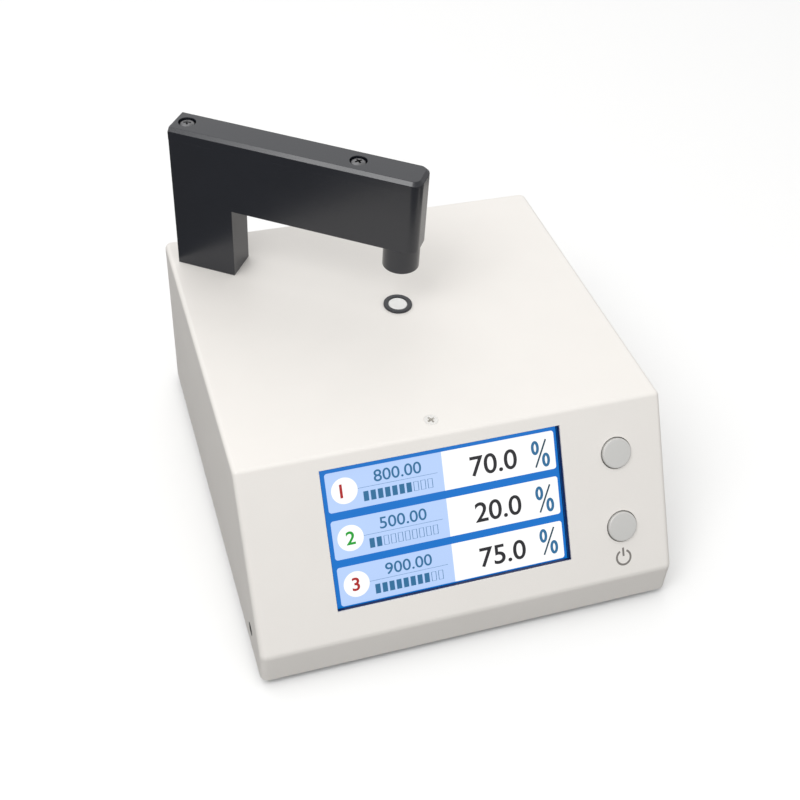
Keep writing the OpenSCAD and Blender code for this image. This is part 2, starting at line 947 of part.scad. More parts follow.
module arm_body() {
    hold = 3.6;
    color([0.12, 0.12, 0.13])
    difference() {
        on_arm(0, 0)
            difference() {
                union() {
                    cube([leg_w, arm_t, seat_z]);
                    translate([0, 0, beam_z])
                        linear_extrude(seat_z - beam_z)
                            arm_plan();
                }
                difference() {
                    union() {
                        translate([lid_screw_a + hold, arm_mid - channel_w / 2, channel_z])
                            cube([nozzle_s - lid_screw_a - hold, channel_w, channel_h + over]);
                        translate([nozzle_s, arm_mid, light_z])
                            cylinder(d = light_board_d + 2 * hole_fit, h = seat_z - light_z + over);
                    }
                    translate([lid_screw_b - hold, 0, channel_z - over])
                        cube([2 * hold, lead_v - lead_d / 2 - hole_fit, channel_h + over]);
                }
                translate([leg_w / 2, arm_mid, -over])
                    cylinder(d = wire_bore, h = channel_z + 2 * over);
                translate([nozzle_s, arm_mid, beam_z - over])
                    cylinder(d = spigot_d + 2 * thread_fit, h = spigot_l + over);
                translate([nozzle_s, arm_mid, beam_z])
                    cylinder(d = light_bore, h = light_z - beam_z + over);
                for (s = [lid_screw_a, lid_screw_b])
                    translate([s, arm_mid, seat_z - lid_thread])
                        cylinder(d = screw_d + 2 * thread_fit, h = lid_thread + over, $fn = 32);
            }
        arm_screw_places()
            translate([0, 0, -over])
                cylinder(d = arm_screw_d + 2 * thread_fit, h = arm_screw_in + screw_end + over,
                    $fn = 32);
    }
}

module arm_lid() {
    color([0.16, 0.16, 0.17])
    on_arm(0, 0, seat_z)
        difference() {
            hull() {
                linear_extrude(lid_t - arm_bevel)
                    arm_plan();
                linear_extrude(lid_t)
                    arm_plan(arm_bevel);
            }
            for (s = [lid_screw_a, lid_screw_b])
                translate([s, arm_mid, 0]) {
                    translate([0, 0, -over])
                        cylinder(d = screw_d + 2 * hole_fit, h = lid_t, $fn = 32);
                    translate([0, 0, lid_t - counterbore_h])
                        cylinder(d = counterbore_d, h = counterbore_h + over, $fn = 48);
                }
        }
}

module lid_screws() {
    color("silver")
    for (s = [lid_screw_a, lid_screw_b])
        on_arm(s, arm_mid, seat_z + lid_t - counterbore_h)
            pan_screw(screw_d, lid_t - counterbore_h + lid_thread - screw_end, pan_head_d,
                pan_head_h);
}

module arm_screws() {
    color("gray")
    arm_screw_places()
        translate([0, 0, -wall - plate_t])
            rotate([180, 0, 0])
                pan_screw(arm_screw_d, plate_t + wall + arm_screw_in, arm_screw_head,
                    arm_screw_head_h);
}

module arm_plate() {
    margin = 0.5;
    tab = 8;
    color("silver")
    difference() {
        on_arm(margin, margin, -wall - plate_t)
            cube([leg_w + tab, arm_t - 2 * margin, plate_t]);
        arm_screw_places()
            translate([0, 0, -wall - plate_t - over])
                cylinder(d = arm_screw_d + 2 * hole_fit, h = plate_t + 2 * over, $fn = 32);
        on_arm(leg_w / 2, arm_mid, -wall - plate_t - over)
            cylinder(d = wire_bore, h = plate_t + 2 * over);
    }
}

// A place on the arm, in the housing's own directions
function arm_at(p) = [
    arm_x + p[0] * cos(arm_angle) + p[1] * sin(arm_angle),
    arm_y - p[0] * sin(arm_angle) + p[1] * cos(arm_angle),
    top_z + p[2]];

// The lead from the light board along the arm, down the leg and over to the main board
module arm_lead() {
    run_z = channel_z + 2;
    swing = 7;
    solder_v = arm_mid + 3;
    along = [[nozzle_s, solder_v, light_z + board_t], [nozzle_s, solder_v, run_z],
        [nozzle_s - swing, lead_v, run_z], [leg_w / 2 + swing, lead_v, run_z],
        [leg_w / 2, arm_mid, run_z]];
    color("darkred")
    lead(eased(concat([for (p = along) arm_at(p)], [arm_turn, arm_plug]), lead_d), lead_d,
        [0, 0.2, 1]);
}

// Light head

module nozzle() {
    bevel = 0.4;
    color([0.12, 0.12, 0.13])
    on_arm(nozzle_s, arm_mid, sample_gap)
        difference() {
            union() {
                cylinder(r1 = arm_mid - bevel, r2 = arm_mid, h = bevel);
                translate([0, 0, bevel])
                    cylinder(r = arm_mid, h = beam_z - sample_gap - bevel);
                cylinder(d = spigot_d, h = beam_z - sample_gap + spigot_l - seat_fit);
            }
            translate([0, 0, -over])
                cylinder(d = light_bore, h = beam_z + spigot_l);
            translate([0, 0, -over])
                cylinder(d = lens_d + 2 * thread_fit, h = over + lens_in + lens_t);
        }
}

module nozzle_lens() {
    color([0.6, 0.8, 0.9, 0.5])
    on_arm(nozzle_s, arm_mid, sample_gap + lens_in)
        cylinder(d = lens_d, h = lens_t);
}

module light_board() {
    color("darkgreen")
    on_arm(nozzle_s, arm_mid, light_z)
        cylinder(d = light_board_d, h = board_t, $fn = 48);
}

// Three light emitters below the board, each a base with a smaller lens
module light_emitters() {
    ring = 2.2;
    base = [2.8, 1.2];
    tip = [2, 1.7];
    color("whitesmoke")
    for (turn = [0, 120, 240])
        on_arm(nozzle_s, arm_mid, light_z)
            rotate([180, 0, turn])
                translate([ring, 0, 0])
                    for (part = [base, tip])
                        cylinder(d = part[0], h = part[1], $fn = 32);
}

// Receiver

module on_receiver(z = 0) {
    on_arm(nozzle_s, arm_mid, z)
        children();
}

module receiver_tube() {
    bevel = 0.3;
    color([0.12, 0.12, 0.13])
    on_receiver()
        difference() {
            union() {
                cylinder(d = rim_d, h = rim_h - bevel);
                translate([0, 0, rim_h - bevel])
                    cylinder(d1 = rim_d, d2 = rim_d - 2 * bevel, h = bevel);
                translate([0, 0, -receiver_l])
                    cylinder(d = receiver_d, h = receiver_l + rim_h / 2);
            }
            translate([0, 0, -receiver_l - over])
                cylinder(d = receiver_bore, h = receiver_l + 2 * over);
            translate([0, 0, diffuser_z])
                cylinder(d = diffuser_d + 2 * thread_fit, h = diffuser_t + over);
        }
}

module receiver_nut() {
    color("silver")
    on_receiver(-wall - receiver_nut_h)
        difference() {
            cylinder(d = receiver_nut_w, h = receiver_nut_h, $fn = 6);
            translate([0, 0, -over])
                cylinder(d = receiver_d + 2 * thread_fit, h = receiver_nut_h + 2 * over);
        }
}

module diffuser_disc() {
    color("white")
    on_receiver(diffuser_z)
        cylinder(d = diffuser_d, h = diffuser_t, $fn = 48);
}

module receiver_board() {
    color("darkgreen")
    on_receiver(-receiver_l - board_t / 2)
        cube([receiver_nut_w, receiver_nut_w, board_t], center = true);
}

module photo_sensor() {
    color("dimgray")
    on_receiver(-receiver_l)
        cylinder(d = receiver_bore - 4 * hole_fit, h = receiver_nut_h, $fn = 32);
}

module receiver_lead() {
    low = board_top + plug_w - top_z;
    color("darkred")
    on_receiver(low)
        cylinder(d = lead_d, h = -receiver_l - board_t - low, $fn = 24);
}

upper_cover();
base_tray();
foot(-1, -1);  // foot_front_left
foot(1, -1);  // foot_front_right
foot(-1, 1);  // foot_rear_left
foot(1, 1);  // foot_rear_right
foot_screws();
side_screws();
rear_screws();
top_screw();
cover_pillar();
pillar_screw();
window_gasket();
lcd_glass();
lcd_frame();
display_bracket();
bracket_screws();
display_ribbon();
operation_cap();
operation_plunger();
operation_switch();
power_cap();
power_plunger();
power_switch();
button_board();
button_board_screws();
button_ribbon();
main_board();
board_chips();
board_sockets();
board_pillars();
board_screws();
power_socket();
arm_body();
arm_lid();
lid_screws();
arm_screws();
arm_plate();
arm_lead();
nozzle();
nozzle_lens();
light_board();
light_emitters();
receiver_tube();
receiver_nut();
diffuser_disc();
receiver_board();
photo_sensor();
receiver_lead();
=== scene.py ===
import math

import bmesh
import bpy
from mathutils import Matrix, Vector


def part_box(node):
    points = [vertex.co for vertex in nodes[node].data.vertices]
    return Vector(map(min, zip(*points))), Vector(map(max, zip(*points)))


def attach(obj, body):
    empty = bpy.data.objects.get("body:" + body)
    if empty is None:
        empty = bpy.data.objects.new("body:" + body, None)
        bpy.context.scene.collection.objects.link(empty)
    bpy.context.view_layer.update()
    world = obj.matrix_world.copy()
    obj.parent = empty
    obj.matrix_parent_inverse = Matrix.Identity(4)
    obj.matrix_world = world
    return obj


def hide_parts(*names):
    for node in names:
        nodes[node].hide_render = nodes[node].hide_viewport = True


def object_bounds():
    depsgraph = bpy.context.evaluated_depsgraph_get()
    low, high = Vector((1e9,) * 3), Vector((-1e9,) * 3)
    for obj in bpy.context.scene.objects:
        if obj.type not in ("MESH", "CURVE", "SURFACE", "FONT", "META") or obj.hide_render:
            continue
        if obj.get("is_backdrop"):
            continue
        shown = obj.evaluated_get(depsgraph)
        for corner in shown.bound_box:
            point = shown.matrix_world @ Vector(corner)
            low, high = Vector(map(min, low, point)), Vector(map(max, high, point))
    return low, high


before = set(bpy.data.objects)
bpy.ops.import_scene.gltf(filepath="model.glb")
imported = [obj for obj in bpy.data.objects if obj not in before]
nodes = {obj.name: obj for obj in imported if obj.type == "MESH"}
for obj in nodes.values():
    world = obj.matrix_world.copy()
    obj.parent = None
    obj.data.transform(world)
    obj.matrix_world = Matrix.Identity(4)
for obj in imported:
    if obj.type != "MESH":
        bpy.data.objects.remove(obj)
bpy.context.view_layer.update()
mm = 0.001


# Base sheet: one blank of 1.5 mm steel with its four sides bent up and nuts pressed in for the
# feet and the cover's screws. It is zinc plated, which leaves a dull, faintly cloudy grain.

def put(tree, kind, inputs=None, **settings):
    """Adds a node with its settings, and a number or another node's output on each input."""
    new = tree.nodes.new(kind)
    for name, value in settings.items():
        setattr(new, name, value)
    for key, value in (inputs or {}).items():
        if isinstance(value, bpy.types.NodeSocket):
            tree.links.new(value, new.inputs[key])
        else:
            new.inputs[key].default_value = value
    return new


def maths(tree, operation, *values, clamp=False):
    """The output of a sum on numbers and on other nodes' outputs."""
    return put(tree, "ShaderNodeMath", dict(enumerate(values)), operation=operation,
               use_clamp=clamp).outputs[0]


def effect(name, takes, gives):
    """A node group with named sockets, and the two ends that its nodes are linked to."""
    tree = bpy.data.node_groups.new(name, "ShaderNodeTree")
    for way, sockets in (("INPUT", takes), ("OUTPUT", gives)):
        for label, kind in sockets.items():
            tree.interface.new_socket(name=label, in_out=way, socket_type="NodeSocket" + kind)
    return tree, tree.nodes.new("NodeGroupInput").outputs, tree.nodes.new("NodeGroupOutput").inputs


def on_surface(tree):
    """A place on the object, in metres."""
    return put(tree, "ShaderNodeTexCoord").outputs["Object"]


# The grain of a finish: fine bumps, with the tone and the gloss drifting a little over it
grain, given, made = effect(
    "Grain",
    {"Colour": "Color", "Grain Size": "Float", "Tone Drift": "Float", "Roughness": "Float",
     "Gloss Drift": "Float"},
    {"Colour": "Color", "Roughness": "Float", "Height": "Float"})
fine = put(grain, "ShaderNodeTexNoise",
           {"Vector": on_surface(grain), "Detail": 3.0,
            "Scale": maths(grain, "DIVIDE", 1 / mm, given["Grain Size"])})
clouds = put(grain, "ShaderNodeTexNoise",
             {"Vector": on_surface(grain), "Scale": 60.0, "Detail": 4.0})
# Each noise lies about 0.5, so half of the fine one and all of the clouds add up to about 0.75
drift = maths(grain, "ADD", maths(grain, "MULTIPLY", fine.outputs[0], 0.5),
              maths(grain, "SUBTRACT", clouds.outputs[0], 0.75))
toned = put(grain, "ShaderNodeHueSaturation",
            {"Color": given["Colour"],
             "Value": maths(grain, "ADD", 1.0, maths(grain, "MULTIPLY", drift,
                                                      given["Tone Drift"]))})
grain.links.new(toned.outputs[0], made["Colour"])
grain.links.new(maths(grain, "ADD", given["Roughness"],
                      maths(grain, "MULTIPLY", drift, given["Gloss Drift"])), made["Roughness"])
grain.links.new(fine.outputs[0], made["Height"])

# Where a finish is rubbed: the outer edges, broken up as handling leaves them
rubbed, given, made = effect("Rubbed edges", {"Width": "Float", "Wear": "Float"},
                             {"Mask": "Float"})
round_over = put(rubbed, "ShaderNodeBevel",
                 {"Radius": maths(rubbed, "MULTIPLY", given["Width"], mm)}, samples=4)
turn = put(rubbed, "ShaderNodeVectorMath",
           {0: round_over.outputs[0], 1: put(rubbed, "ShaderNodeNewGeometry").outputs["Normal"]},
           operation="DOT_PRODUCT")
patches = put(rubbed, "ShaderNodeTexNoise",
              {"Vector": on_surface(rubbed), "Scale": 420.0, "Detail": 5.0})
edge = put(rubbed, "ShaderNodeMapRange",
           {"Value": turn.outputs["Value"], "From Min": 0.995, "From Max": 0.85})
rubbed.links.new(
    maths(rubbed, "MULTIPLY", given["Wear"],
          maths(rubbed, "MULTIPLY", edge.outputs[0],
                put(rubbed, "ShaderNodeMapRange", {"Value": patches.outputs[0], "From Min": 0.35,
                                                   "From Max": 0.65}).outputs[0]), clamp=True),
    made["Mask"])


def finish(name, colour, rough, grain_size, drift=0.05, gloss_drift=0.08, bump=0.2,
           rub=None, metal=0.0, **sockets):
    """A material with the grain on it. The rub gives its width in mm, the wear and its colour."""
    material = bpy.data.materials.new(name)
    material.use_nodes = True
    tree = material.node_tree
    shader = tree.nodes["Principled BSDF"]
    surface = put(tree, "ShaderNodeGroup",
                  {"Colour": colour, "Grain Size": grain_size, "Tone Drift": drift,
                   "Roughness": rough, "Gloss Drift": gloss_drift}, node_tree=grain)
    shown = surface.outputs["Colour"]
    shader.inputs["Metallic"].default_value = metal
    if rub:
        worn = put(tree, "ShaderNodeGroup", {"Width": rub[0], "Wear": rub[1]}, node_tree=rubbed)
        shown = put(tree, "ShaderNodeMix", {0: worn.outputs["Mask"], 6: shown, 7: rub[2]},
                    data_type="RGBA").outputs[2]
    raised = put(tree, "ShaderNodeBump", {"Height": surface.outputs["Height"], "Strength": bump,
                                          "Distance": grain_size * mm / 4})
    tree.links.new(shown, shader.inputs["Base Color"])
    tree.links.new(surface.outputs["Roughness"], shader.inputs["Roughness"])
    tree.links.new(raised.outputs[0], shader.inputs["Normal"])
    for socket, value in sockets.items():
        shader.inputs[socket.replace("_", " ")].default_value = value
    return material


def dress(material, *names):
    """Gives the finish to parts that are shown as they were drawn."""
    for name in names:
        nodes[name].data.materials.clear()
        nodes[name].data.materials.append(material)


zinc_plate = finish("Zinc plated steel", (0.56, 0.57, 0.59, 1), 0.38, 0.25, drift=0.25,
                    gloss_drift=0.3, metal=1.0, rub=(0.3, 0.6, (0.75, 0.76, 0.78, 1)))
dress(zinc_plate, "base_tray")


# Feet: four moulded rubber buttons, each with a rounded toe and a recess for the screw that
# holds it to the base. The housing stands on them, 3 mm off the table.

def turned(outline, steps=96, closed=False):
    """A shape turned on a lathe from its outline, given as distances from the axis and heights."""
    work = bmesh.new()
    rings = []
    outline = dict.fromkeys((round(reach, 4), round(height, 4)) for reach, height in outline)
    for reach, height in outline:
        turns = range(steps if reach > 1e-4 else 1)
        rings.append([work.verts.new((reach * mm * math.cos(2 * math.pi * i / steps),
                                      reach * mm * math.sin(2 * math.pi * i / steps),
                                      height * mm)) for i in turns])
    for low, high in zip(rings, rings[1:] + rings[:1] if closed else rings[1:]):
        for i in range(steps):
            j = (i + 1) % steps
            corners = [low[i % len(low)], low[j % len(low)], high[j % len(high)],
                       high[i % len(high)]]
            corners = list(dict.fromkeys(corners))
            if len(corners) > 2:
                work.faces.new(corners)
    bmesh.ops.recalc_face_normals(work, faces=work.faces)
    return work


def softened(points, radius, closed=False, steps=5):
    """The points of an outline, with each corner between two others rounded by the radius."""
    soft = []
    for i, here in enumerate(points):
        here = Vector(here)
        if not closed and i in (0, len(points) - 1):
            soft.append(here)
            continue
        back, on = (Vector(points[i - 1]) - here, Vector(points[(i + 1) % len(points)]) - here)
        half = back.angle(on) / 2
        reach = min(radius / math.tan(half), back.length * 0.48, on.length * 0.48)
        start, end = here + back.normalized() * reach, here + on.normalized() * reach
        for k in range(steps + 1):
            t = k / steps
            soft.append((1 - t) ** 2 * start + 2 * t * (1 - t) * here + t * t * end)
    return [tuple(p) for p in soft]


def new_piece(name, work, material, place=None, sharp=40):
    """Turns the worked mesh into a piece with its finish, set in its place."""
    if place is not None:
        work.transform(place)
    mesh = bpy.data.meshes.new(name)
    work.to_mesh(mesh)
    work.free()
    mesh.materials.append(material)
    mesh.shade_smooth()
    mesh.set_sharp_from_angle(angle=math.radians(sharp))
    piece = bpy.data.objects.new(name, mesh)
    bpy.context.scene.collection.objects.link(piece)
    even = piece.modifiers.new("Even shading", "WEIGHTED_NORMAL")
    even.keep_sharp = True
    return piece


foot_rubber = finish("Foot rubber", (0.022, 0.022, 0.023, 1), 0.72, 0.3, drift=0.3, bump=0.35,
                     rub=(0.4, 0.4, (0.09, 0.09, 0.09, 1)), Specular_IOR_Level=0.35)
foot_radius, foot_top, toe_radius, toe_rise = 6.5, 3.8, 5.6, 0.9
shank_bore, head_bore, head_seat = 1.7, 3.4, 2.4
foot_outline = ([(shank_bore, head_seat), (head_bore, head_seat)]
                + softened([(head_bore, head_seat), (head_bore, 0), (toe_radius, 0),
                            (foot_radius, toe_rise), (foot_radius, foot_top)], 0.35)
                + [(shank_bore, foot_top)])
for name in ("foot_front_left", "foot_front_right", "foot_rear_left", "foot_rear_right"):
    low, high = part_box(name)
    foot = new_piece(name + "_rubber", turned(foot_outline, closed=True), foot_rubber,
                     Matrix.Translation(((low.x + high.x) / 2, (low.y + high.y) / 2, 0)))
    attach(foot, "housing")
    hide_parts(name)
dress(zinc_plate, "foot_screws")


# Boards: a main board on four pillars, one under the buttons, one on the receiver and a round one
# in the light head. Green mask lies over copper tracks, and the bare pads are tinned.

def laid_over(material, mask, colour):
    """Shows a second colour over a finish, as far as the mask lets it."""
    tree = material.node_tree
    base = tree.nodes["Principled BSDF"].inputs["Base Color"]
    mixed = put(tree, "ShaderNodeMix", {0: mask, 6: base.links[0].from_socket, 7: colour},
                data_type="RGBA")
    tree.links.new(mixed.outputs[2], base)


board_mask = finish("Board mask", (0.012, 0.12, 0.05, 1), 0.32, 0.2, drift=0.2, bump=0.1,
                    Coat_Weight=0.4, Coat_Roughness=0.2)
tree = board_mask.node_tree
track_edges = put(tree, "ShaderNodeTexVoronoi", {"Vector": on_surface(tree), "Scale": 260.0},
                  feature="DISTANCE_TO_EDGE")
tracks = put(tree, "ShaderNodeMapRange",
             {"Value": track_edges.outputs["Distance"], "From Min": 0.09, "From Max": 0.06})
pad_spots = put(tree, "ShaderNodeTexVoronoi", {"Vector": on_surface(tree), "Scale": 300.0,
                                               "Randomness": 0.15})
pads = put(tree, "ShaderNodeMapRange",
           {"Value": pad_spots.outputs["Distance"], "From Min": 0.2, "From Max": 0.17})
laid_over(board_mask, tracks.outputs[0], (0.03, 0.24, 0.09, 1))
laid_over(board_mask, pads.outputs[0], (0.7, 0.69, 0.66, 1))
tree.links.new(pads.outputs[0], tree.nodes["Principled BSDF"].inputs["Metallic"])
dress(board_mask, "main_board", "button_board", "receiver_board", "light_board")
dress(zinc_plate, "board_pillars", "board_screws", "button_board_screws", "cover_pillar",
      "pillar_screw")

# What stands on the boards: chips and cans in black, plug sockets in white, and the photo sensor.
# They are moulded, so they carry the fine spark-eroded texture of their moulds.
black_moulding = finish("Black moulding", (0.018, 0.018, 0.019, 1), 0.42, 0.12, drift=0.25,
                        bump=0.25, rub=(0.2, 0.3, (0.06, 0.06, 0.06, 1)))
white_moulding = finish("White moulding", (0.78, 0.78, 0.74, 1), 0.4, 0.15, bump=0.15,
                        Subsurface_Weight=0.05, Subsurface_Radius=(mm, mm, mm))
dress(black_moulding, "board_chips", "photo_sensor", "operation_switch", "power_switch")
dress(white_moulding, "board_sockets", "light_emitters", "operation_plunger", "power_plunger")

# Flat cables: copper strips between two amber films. One runs to the main board from the
# display, and one from the board under the buttons.
strip_pitch = 1.27
ribbon_film = finish("Ribbon film", (0.42, 0.2, 0.05, 1), 0.28, 0.2, bump=0.08, Coat_Weight=0.5)
tree = ribbon_film.node_tree
across = put(tree, "ShaderNodeSeparateXYZ", {0: on_surface(tree)})
strips = put(tree, "ShaderNodeMath",
             {0: maths(tree, "SINE", maths(tree, "MULTIPLY", across.outputs["X"],
                                           2 * math.pi / (strip_pitch * mm))), 1: 0.2},
             operation="GREATER_THAN")
laid_over(ribbon_film, strips.outputs[0], (0.62, 0.33, 0.12, 1))
dress(ribbon_film, "display_ribbon", "button_ribbon")

# Leads: fine wires in soft red jackets. One runs from the light board through the arm to the
# main board, and one hangs from the receiver's board down to it.
lead_jacket = finish("Lead jacket", (0.22, 0.02, 0.02, 1), 0.5, 0.3, bump=0.15)
dress(lead_jacket, "arm_lead", "receiver_lead")


# Supply socket: a black moulded block on the main board's rear edge, behind a round hole in the
# cover. A nickel-plated pin with a rounded tip stands in the middle of its bore.

def block(low, high):
    """A block between two corners."""
    work = bmesh.new()
    bmesh.ops.create_cube(work, size=1)
    low, high = Vector(low) * mm, Vector(high) * mm
    work.transform(Matrix.Translation((low + high) / 2) @ Matrix.Diagonal((high - low).to_4d()))
    return work


def loose(work):
    """The worked mesh as an object for one step of the work."""
    mesh = bpy.data.meshes.new("step")
    work.to_mesh(mesh)
    work.free()
    item = bpy.data.objects.new("step", mesh)
    bpy.context.scene.collection.objects.link(item)
    return item


def together(works):
    """Several worked meshes that don't touch, as one."""
    whole = bmesh.new()
    for work in works:
        mesh = bpy.data.meshes.new("step")
        work.to_mesh(mesh)
        work.free()
        whole.from_mesh(mesh)
        bpy.data.meshes.remove(mesh)
    return whole


def carved(stock, *tools, how="DIFFERENCE"):
    """What is left of the stock when the tools are cut from it, or what they make joined."""
    stock = loose(stock)
    used = [stock] + [loose(tool) for tool in tools]
    for tool in used[1:]:
        step = stock.modifiers.new("step", "BOOLEAN")
        step.operation, step.solver, step.object = how, "EXACT", tool
    work = bmesh.new()
    bpy.context.view_layer.update()
    work.from_object(stock, bpy.context.evaluated_depsgraph_get())
    for item in used:
        bpy.data.objects.remove(item)
    bmesh.ops.remove_doubles(work, verts=work.verts, dist=1e-7)
    bmesh.ops.dissolve_limit(work, angle_limit=math.radians(0.2), verts=work.verts,
                             edges=work.edges)
    return work


def eased(work, width, turn=35, chosen=lambda edge: True, steps=3):
    """Breaks the edges that turn more than the angle, where they are chosen."""
    work.normal_update()
    sharp = [e for e in work.edges if len(e.link_faces) == 2
             and e.calc_face_angle(0) > math.radians(turn) and chosen(e)]
    bmesh.ops.bevel(work, geom=sharp, offset=width * mm, offset_type="OFFSET", segments=steps,
                    profile=0.5, affect="EDGES", clamp_overlap=True)
    bmesh.ops.dissolve_degenerate(work, dist=1e-7, edges=work.edges)
    return work


def at(x, y, z=0):
    """A place, in mm."""
    return Matrix.Translation(Vector((x, y, z)) * mm)


def facing(x, y, z, about, angle):
    """A place in mm, turned about an axis by an angle in degrees."""
    return at(x, y, z) @ Matrix.Rotation(math.radians(angle), 4, about)


supply_x, supply_z, supply_front = 45, 21.4, 87
block_half, block_back, block_low, block_high = 4.5, 74, 14.9, 25.9
plug_bore, plug_depth, plug_mouth = 3.15, 9, 3.65
pin_radius, pin_root, pin_tip = 1, -9.2, -0.5
nickel = finish("Nickel plate", (0.66, 0.63, 0.58, 1), 0.24, 0.1, drift=0.12, gloss_drift=0.2,
                bump=0.08, metal=1.0)
socket_bore = turned([(0, -plug_depth), (plug_bore, -plug_depth), (plug_bore, -0.5),
                      (plug_mouth, 0.2), (plug_mouth, 1), (0, 1)], 64)
socket_bore.transform(facing(supply_x, supply_front, supply_z, "X", -90))
socket_block = new_piece(
    "supply_socket_block",
    eased(carved(block((supply_x - block_half, block_back, block_low),
                       (supply_x + block_half, supply_front, block_high)), socket_bore), 0.3),
    black_moulding)
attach(socket_block, "housing")
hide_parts("power_socket")
socket_pin = new_piece(
    "supply_socket_pin",
    turned([(0, pin_root)] + softened([(pin_radius, pin_root), (pin_radius, pin_tip - 0.1),
                                       (0.55, pin_tip), (0, pin_tip)], 0.4), 48),
    nickel, facing(supply_x, supply_front, supply_z, "X", -90))
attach(socket_pin, "housing")


# Cover: 2 mm sheet bent over the front, the sloped panel and the top, with welded and dressed
# corners, powder coated in warm white. The coat has a fine orange-peel texture all over.

# Outside sizes, the heights of its rim, its lip's edge and its top, and how far the panel runs
# back; then the sheet, the radii of the upright corners and of the top's sides, and the bends
width, depth, rim, lip, top, run = 170, 182, 3, 16.8, 78, 38.8
wall, corner, fold, lip_bend, top_bend = 2, 3, 2, 5, 2
lean = math.atan2(top - lip, run)
on_panel = at(0, -depth / 2, lip) @ Matrix.Rotation(lean, 4, "X")


def drawn_in(by):
    """Where the lip edge and the bend lie when the side outline is drawn in: y and z of each."""
    return ((-depth / 2 + by, lip - by * (1 - math.sin(lean)) / math.cos(lean)),
            (-depth / 2 + run + by * (1 - math.cos(lean)) / math.sin(lean), top - by))


def shell():
    """The cover's outside, as one skin stretched over its rounded corners."""
    work = bmesh.new()
    steps, bend_steps = 12, 8
    quarter = [math.pi / 2 * i / steps for i in range(steps + 1)]
    whole = [math.pi / 2 * i / steps for i in range(4 * steps)]

    def corner_at(x, y, z, plan, reach, rise, angles):
        """The points of a rounded corner: plan is how far out its ball's middle goes round."""
        for a in whole:
            for t in angles:
                out = (plan + reach * math.cos(t)) * mm
                work.verts.new((x * mm + out * math.cos(a), y * mm + out * math.sin(a),
                                z * mm + rise * math.sin(t) * mm))

    def bend_at(x, middle, turn_start, turn_end, bend, edge):
        """One end of a bend: balls of the edge's radius, set round the bend's axis."""
        for k in range(bend_steps + 1):
            t = turn_start + (turn_end - turn_start) * k / bend_steps
            corner_at(x, middle[0] - (bend - edge) * math.cos(t),
                      middle[1] + (bend - edge) * math.sin(t), 0, edge, edge, quarter)

    for side in (-1, 1):
        x = side * (width / 2 - corner)
        for y in (-depth / 2 + corner, depth / 2 - corner):
            corner_at(x, y, rim, corner, 0, 0, [0])
        bend_at(x, drawn_in(lip_bend)[0], 0, math.pi / 2 - lean, lip_bend, corner)
        bend_at(side * (width / 2 - fold), drawn_in(top_bend)[1], math.pi / 2 - lean, math.pi / 2,
                top_bend, fold)
        corner_at(x, depth / 2 - corner, top - fold, corner - fold, fold, fold, quarter)
    hull = bmesh.ops.convex_hull(work, input=work.verts)
    spare = {g for g in hull["geom_interior"] + hull["geom_unused"]
             if isinstance(g, bmesh.types.BMVert)}
    bmesh.ops.delete(work, geom=list(spare), context="VERTS")
    bmesh.ops.dissolve_limit(work, angle_limit=math.radians(0.2), verts=work.verts,
                             edges=work.edges)
    return work


def stacked(levels):
    """A solid through outlines that lie one over another, each given with its height."""
    work = bmesh.new()
    rings = [[work.verts.new((x * mm, y * mm, z * mm)) for x, y in outline]
             for outline, z in levels]
    work.faces.new(rings[0][::-1])
    work.faces.new(rings[-1])
    for low, high in zip(rings, rings[1:]):
        for i in range(len(low)):
            j = (i + 1) % len(low)
            work.faces.new((low[i], low[j], high[j], high[i]))
    bmesh.ops.recalc_face_normals(work, faces=work.faces)
    return work


def drawn_up(outline, low, high):
    """A prism over the outline, from one height to another."""
    return stacked([(outline, low), (outline, high)])


def rod(radius, low, high, steps):
    """A round rod, as it stands or as the tool for a bore."""
    return turned([(0, low), (radius, low), (radius, high), (0, high)], steps)


def moved(work, place):
    """The worked mesh, set in its place."""
    work.transform(place)
    return work


def on_arm(s, v, z=0):
    """A place along the arm, which stands askew on the cover: s along it, v across it."""
    return facing(arm_x, arm_y, top, "Z", arm_turn) @ at(s, v, z)


def panel_spot(x, s, n=0):
    """A place on the panel: s is up its slope from the lip's edge, n out from its face."""
    return on_panel @ at(x, s, n)


def hole(radius, place, steps=96):
    """The tool for a round hole through the sheet."""
    return moved(rod(radius, -past_sheet, past_sheet, steps), place)


# Where things come through it or are held to it: the buttons and the window in the panel, the
# arm with its screws, its lead and what it looks at, the boards behind the panel, the screws
button_x, power_s, operation_s, button_hole = 64.2, 21.4, 51.66, 6.5
window_left, window_right, window_low, window_high = -53.9, 41.65, 12, 67
arm_x, arm_y, arm_turn, arm_middle = -81.3, 75, -35.8, 7.5
light_s, lead_s, arm_screws_s = 96.5, 12.75, (4.55, 20.95)
receiver_hole, lead_hole, arm_screw_hole, supply_hole, past_sheet = 5.3, 3, 2.2, 4.7, 3
bracket_spots = [(x, s) for x in (-62.25, 50.25) for s in (19.44, 59.52)]
button_board_spots = [(x, 36.53) for x in (button_x - 7.5, button_x + 7.5)]
top_screw_x, top_screw_y, side_screw_y, rear_screw_x, low_screw_z = -7.3, -44.2, -73, 60, 12.6
side_places = [facing(side * width / 2, side_screw_y, low_screw_z, "Y", side * 90)
               for side in (-1, 1)]
rear_places = [facing(side * rear_screw_x, depth / 2, low_screw_z, "X", -90) for side in (-1, 1)]

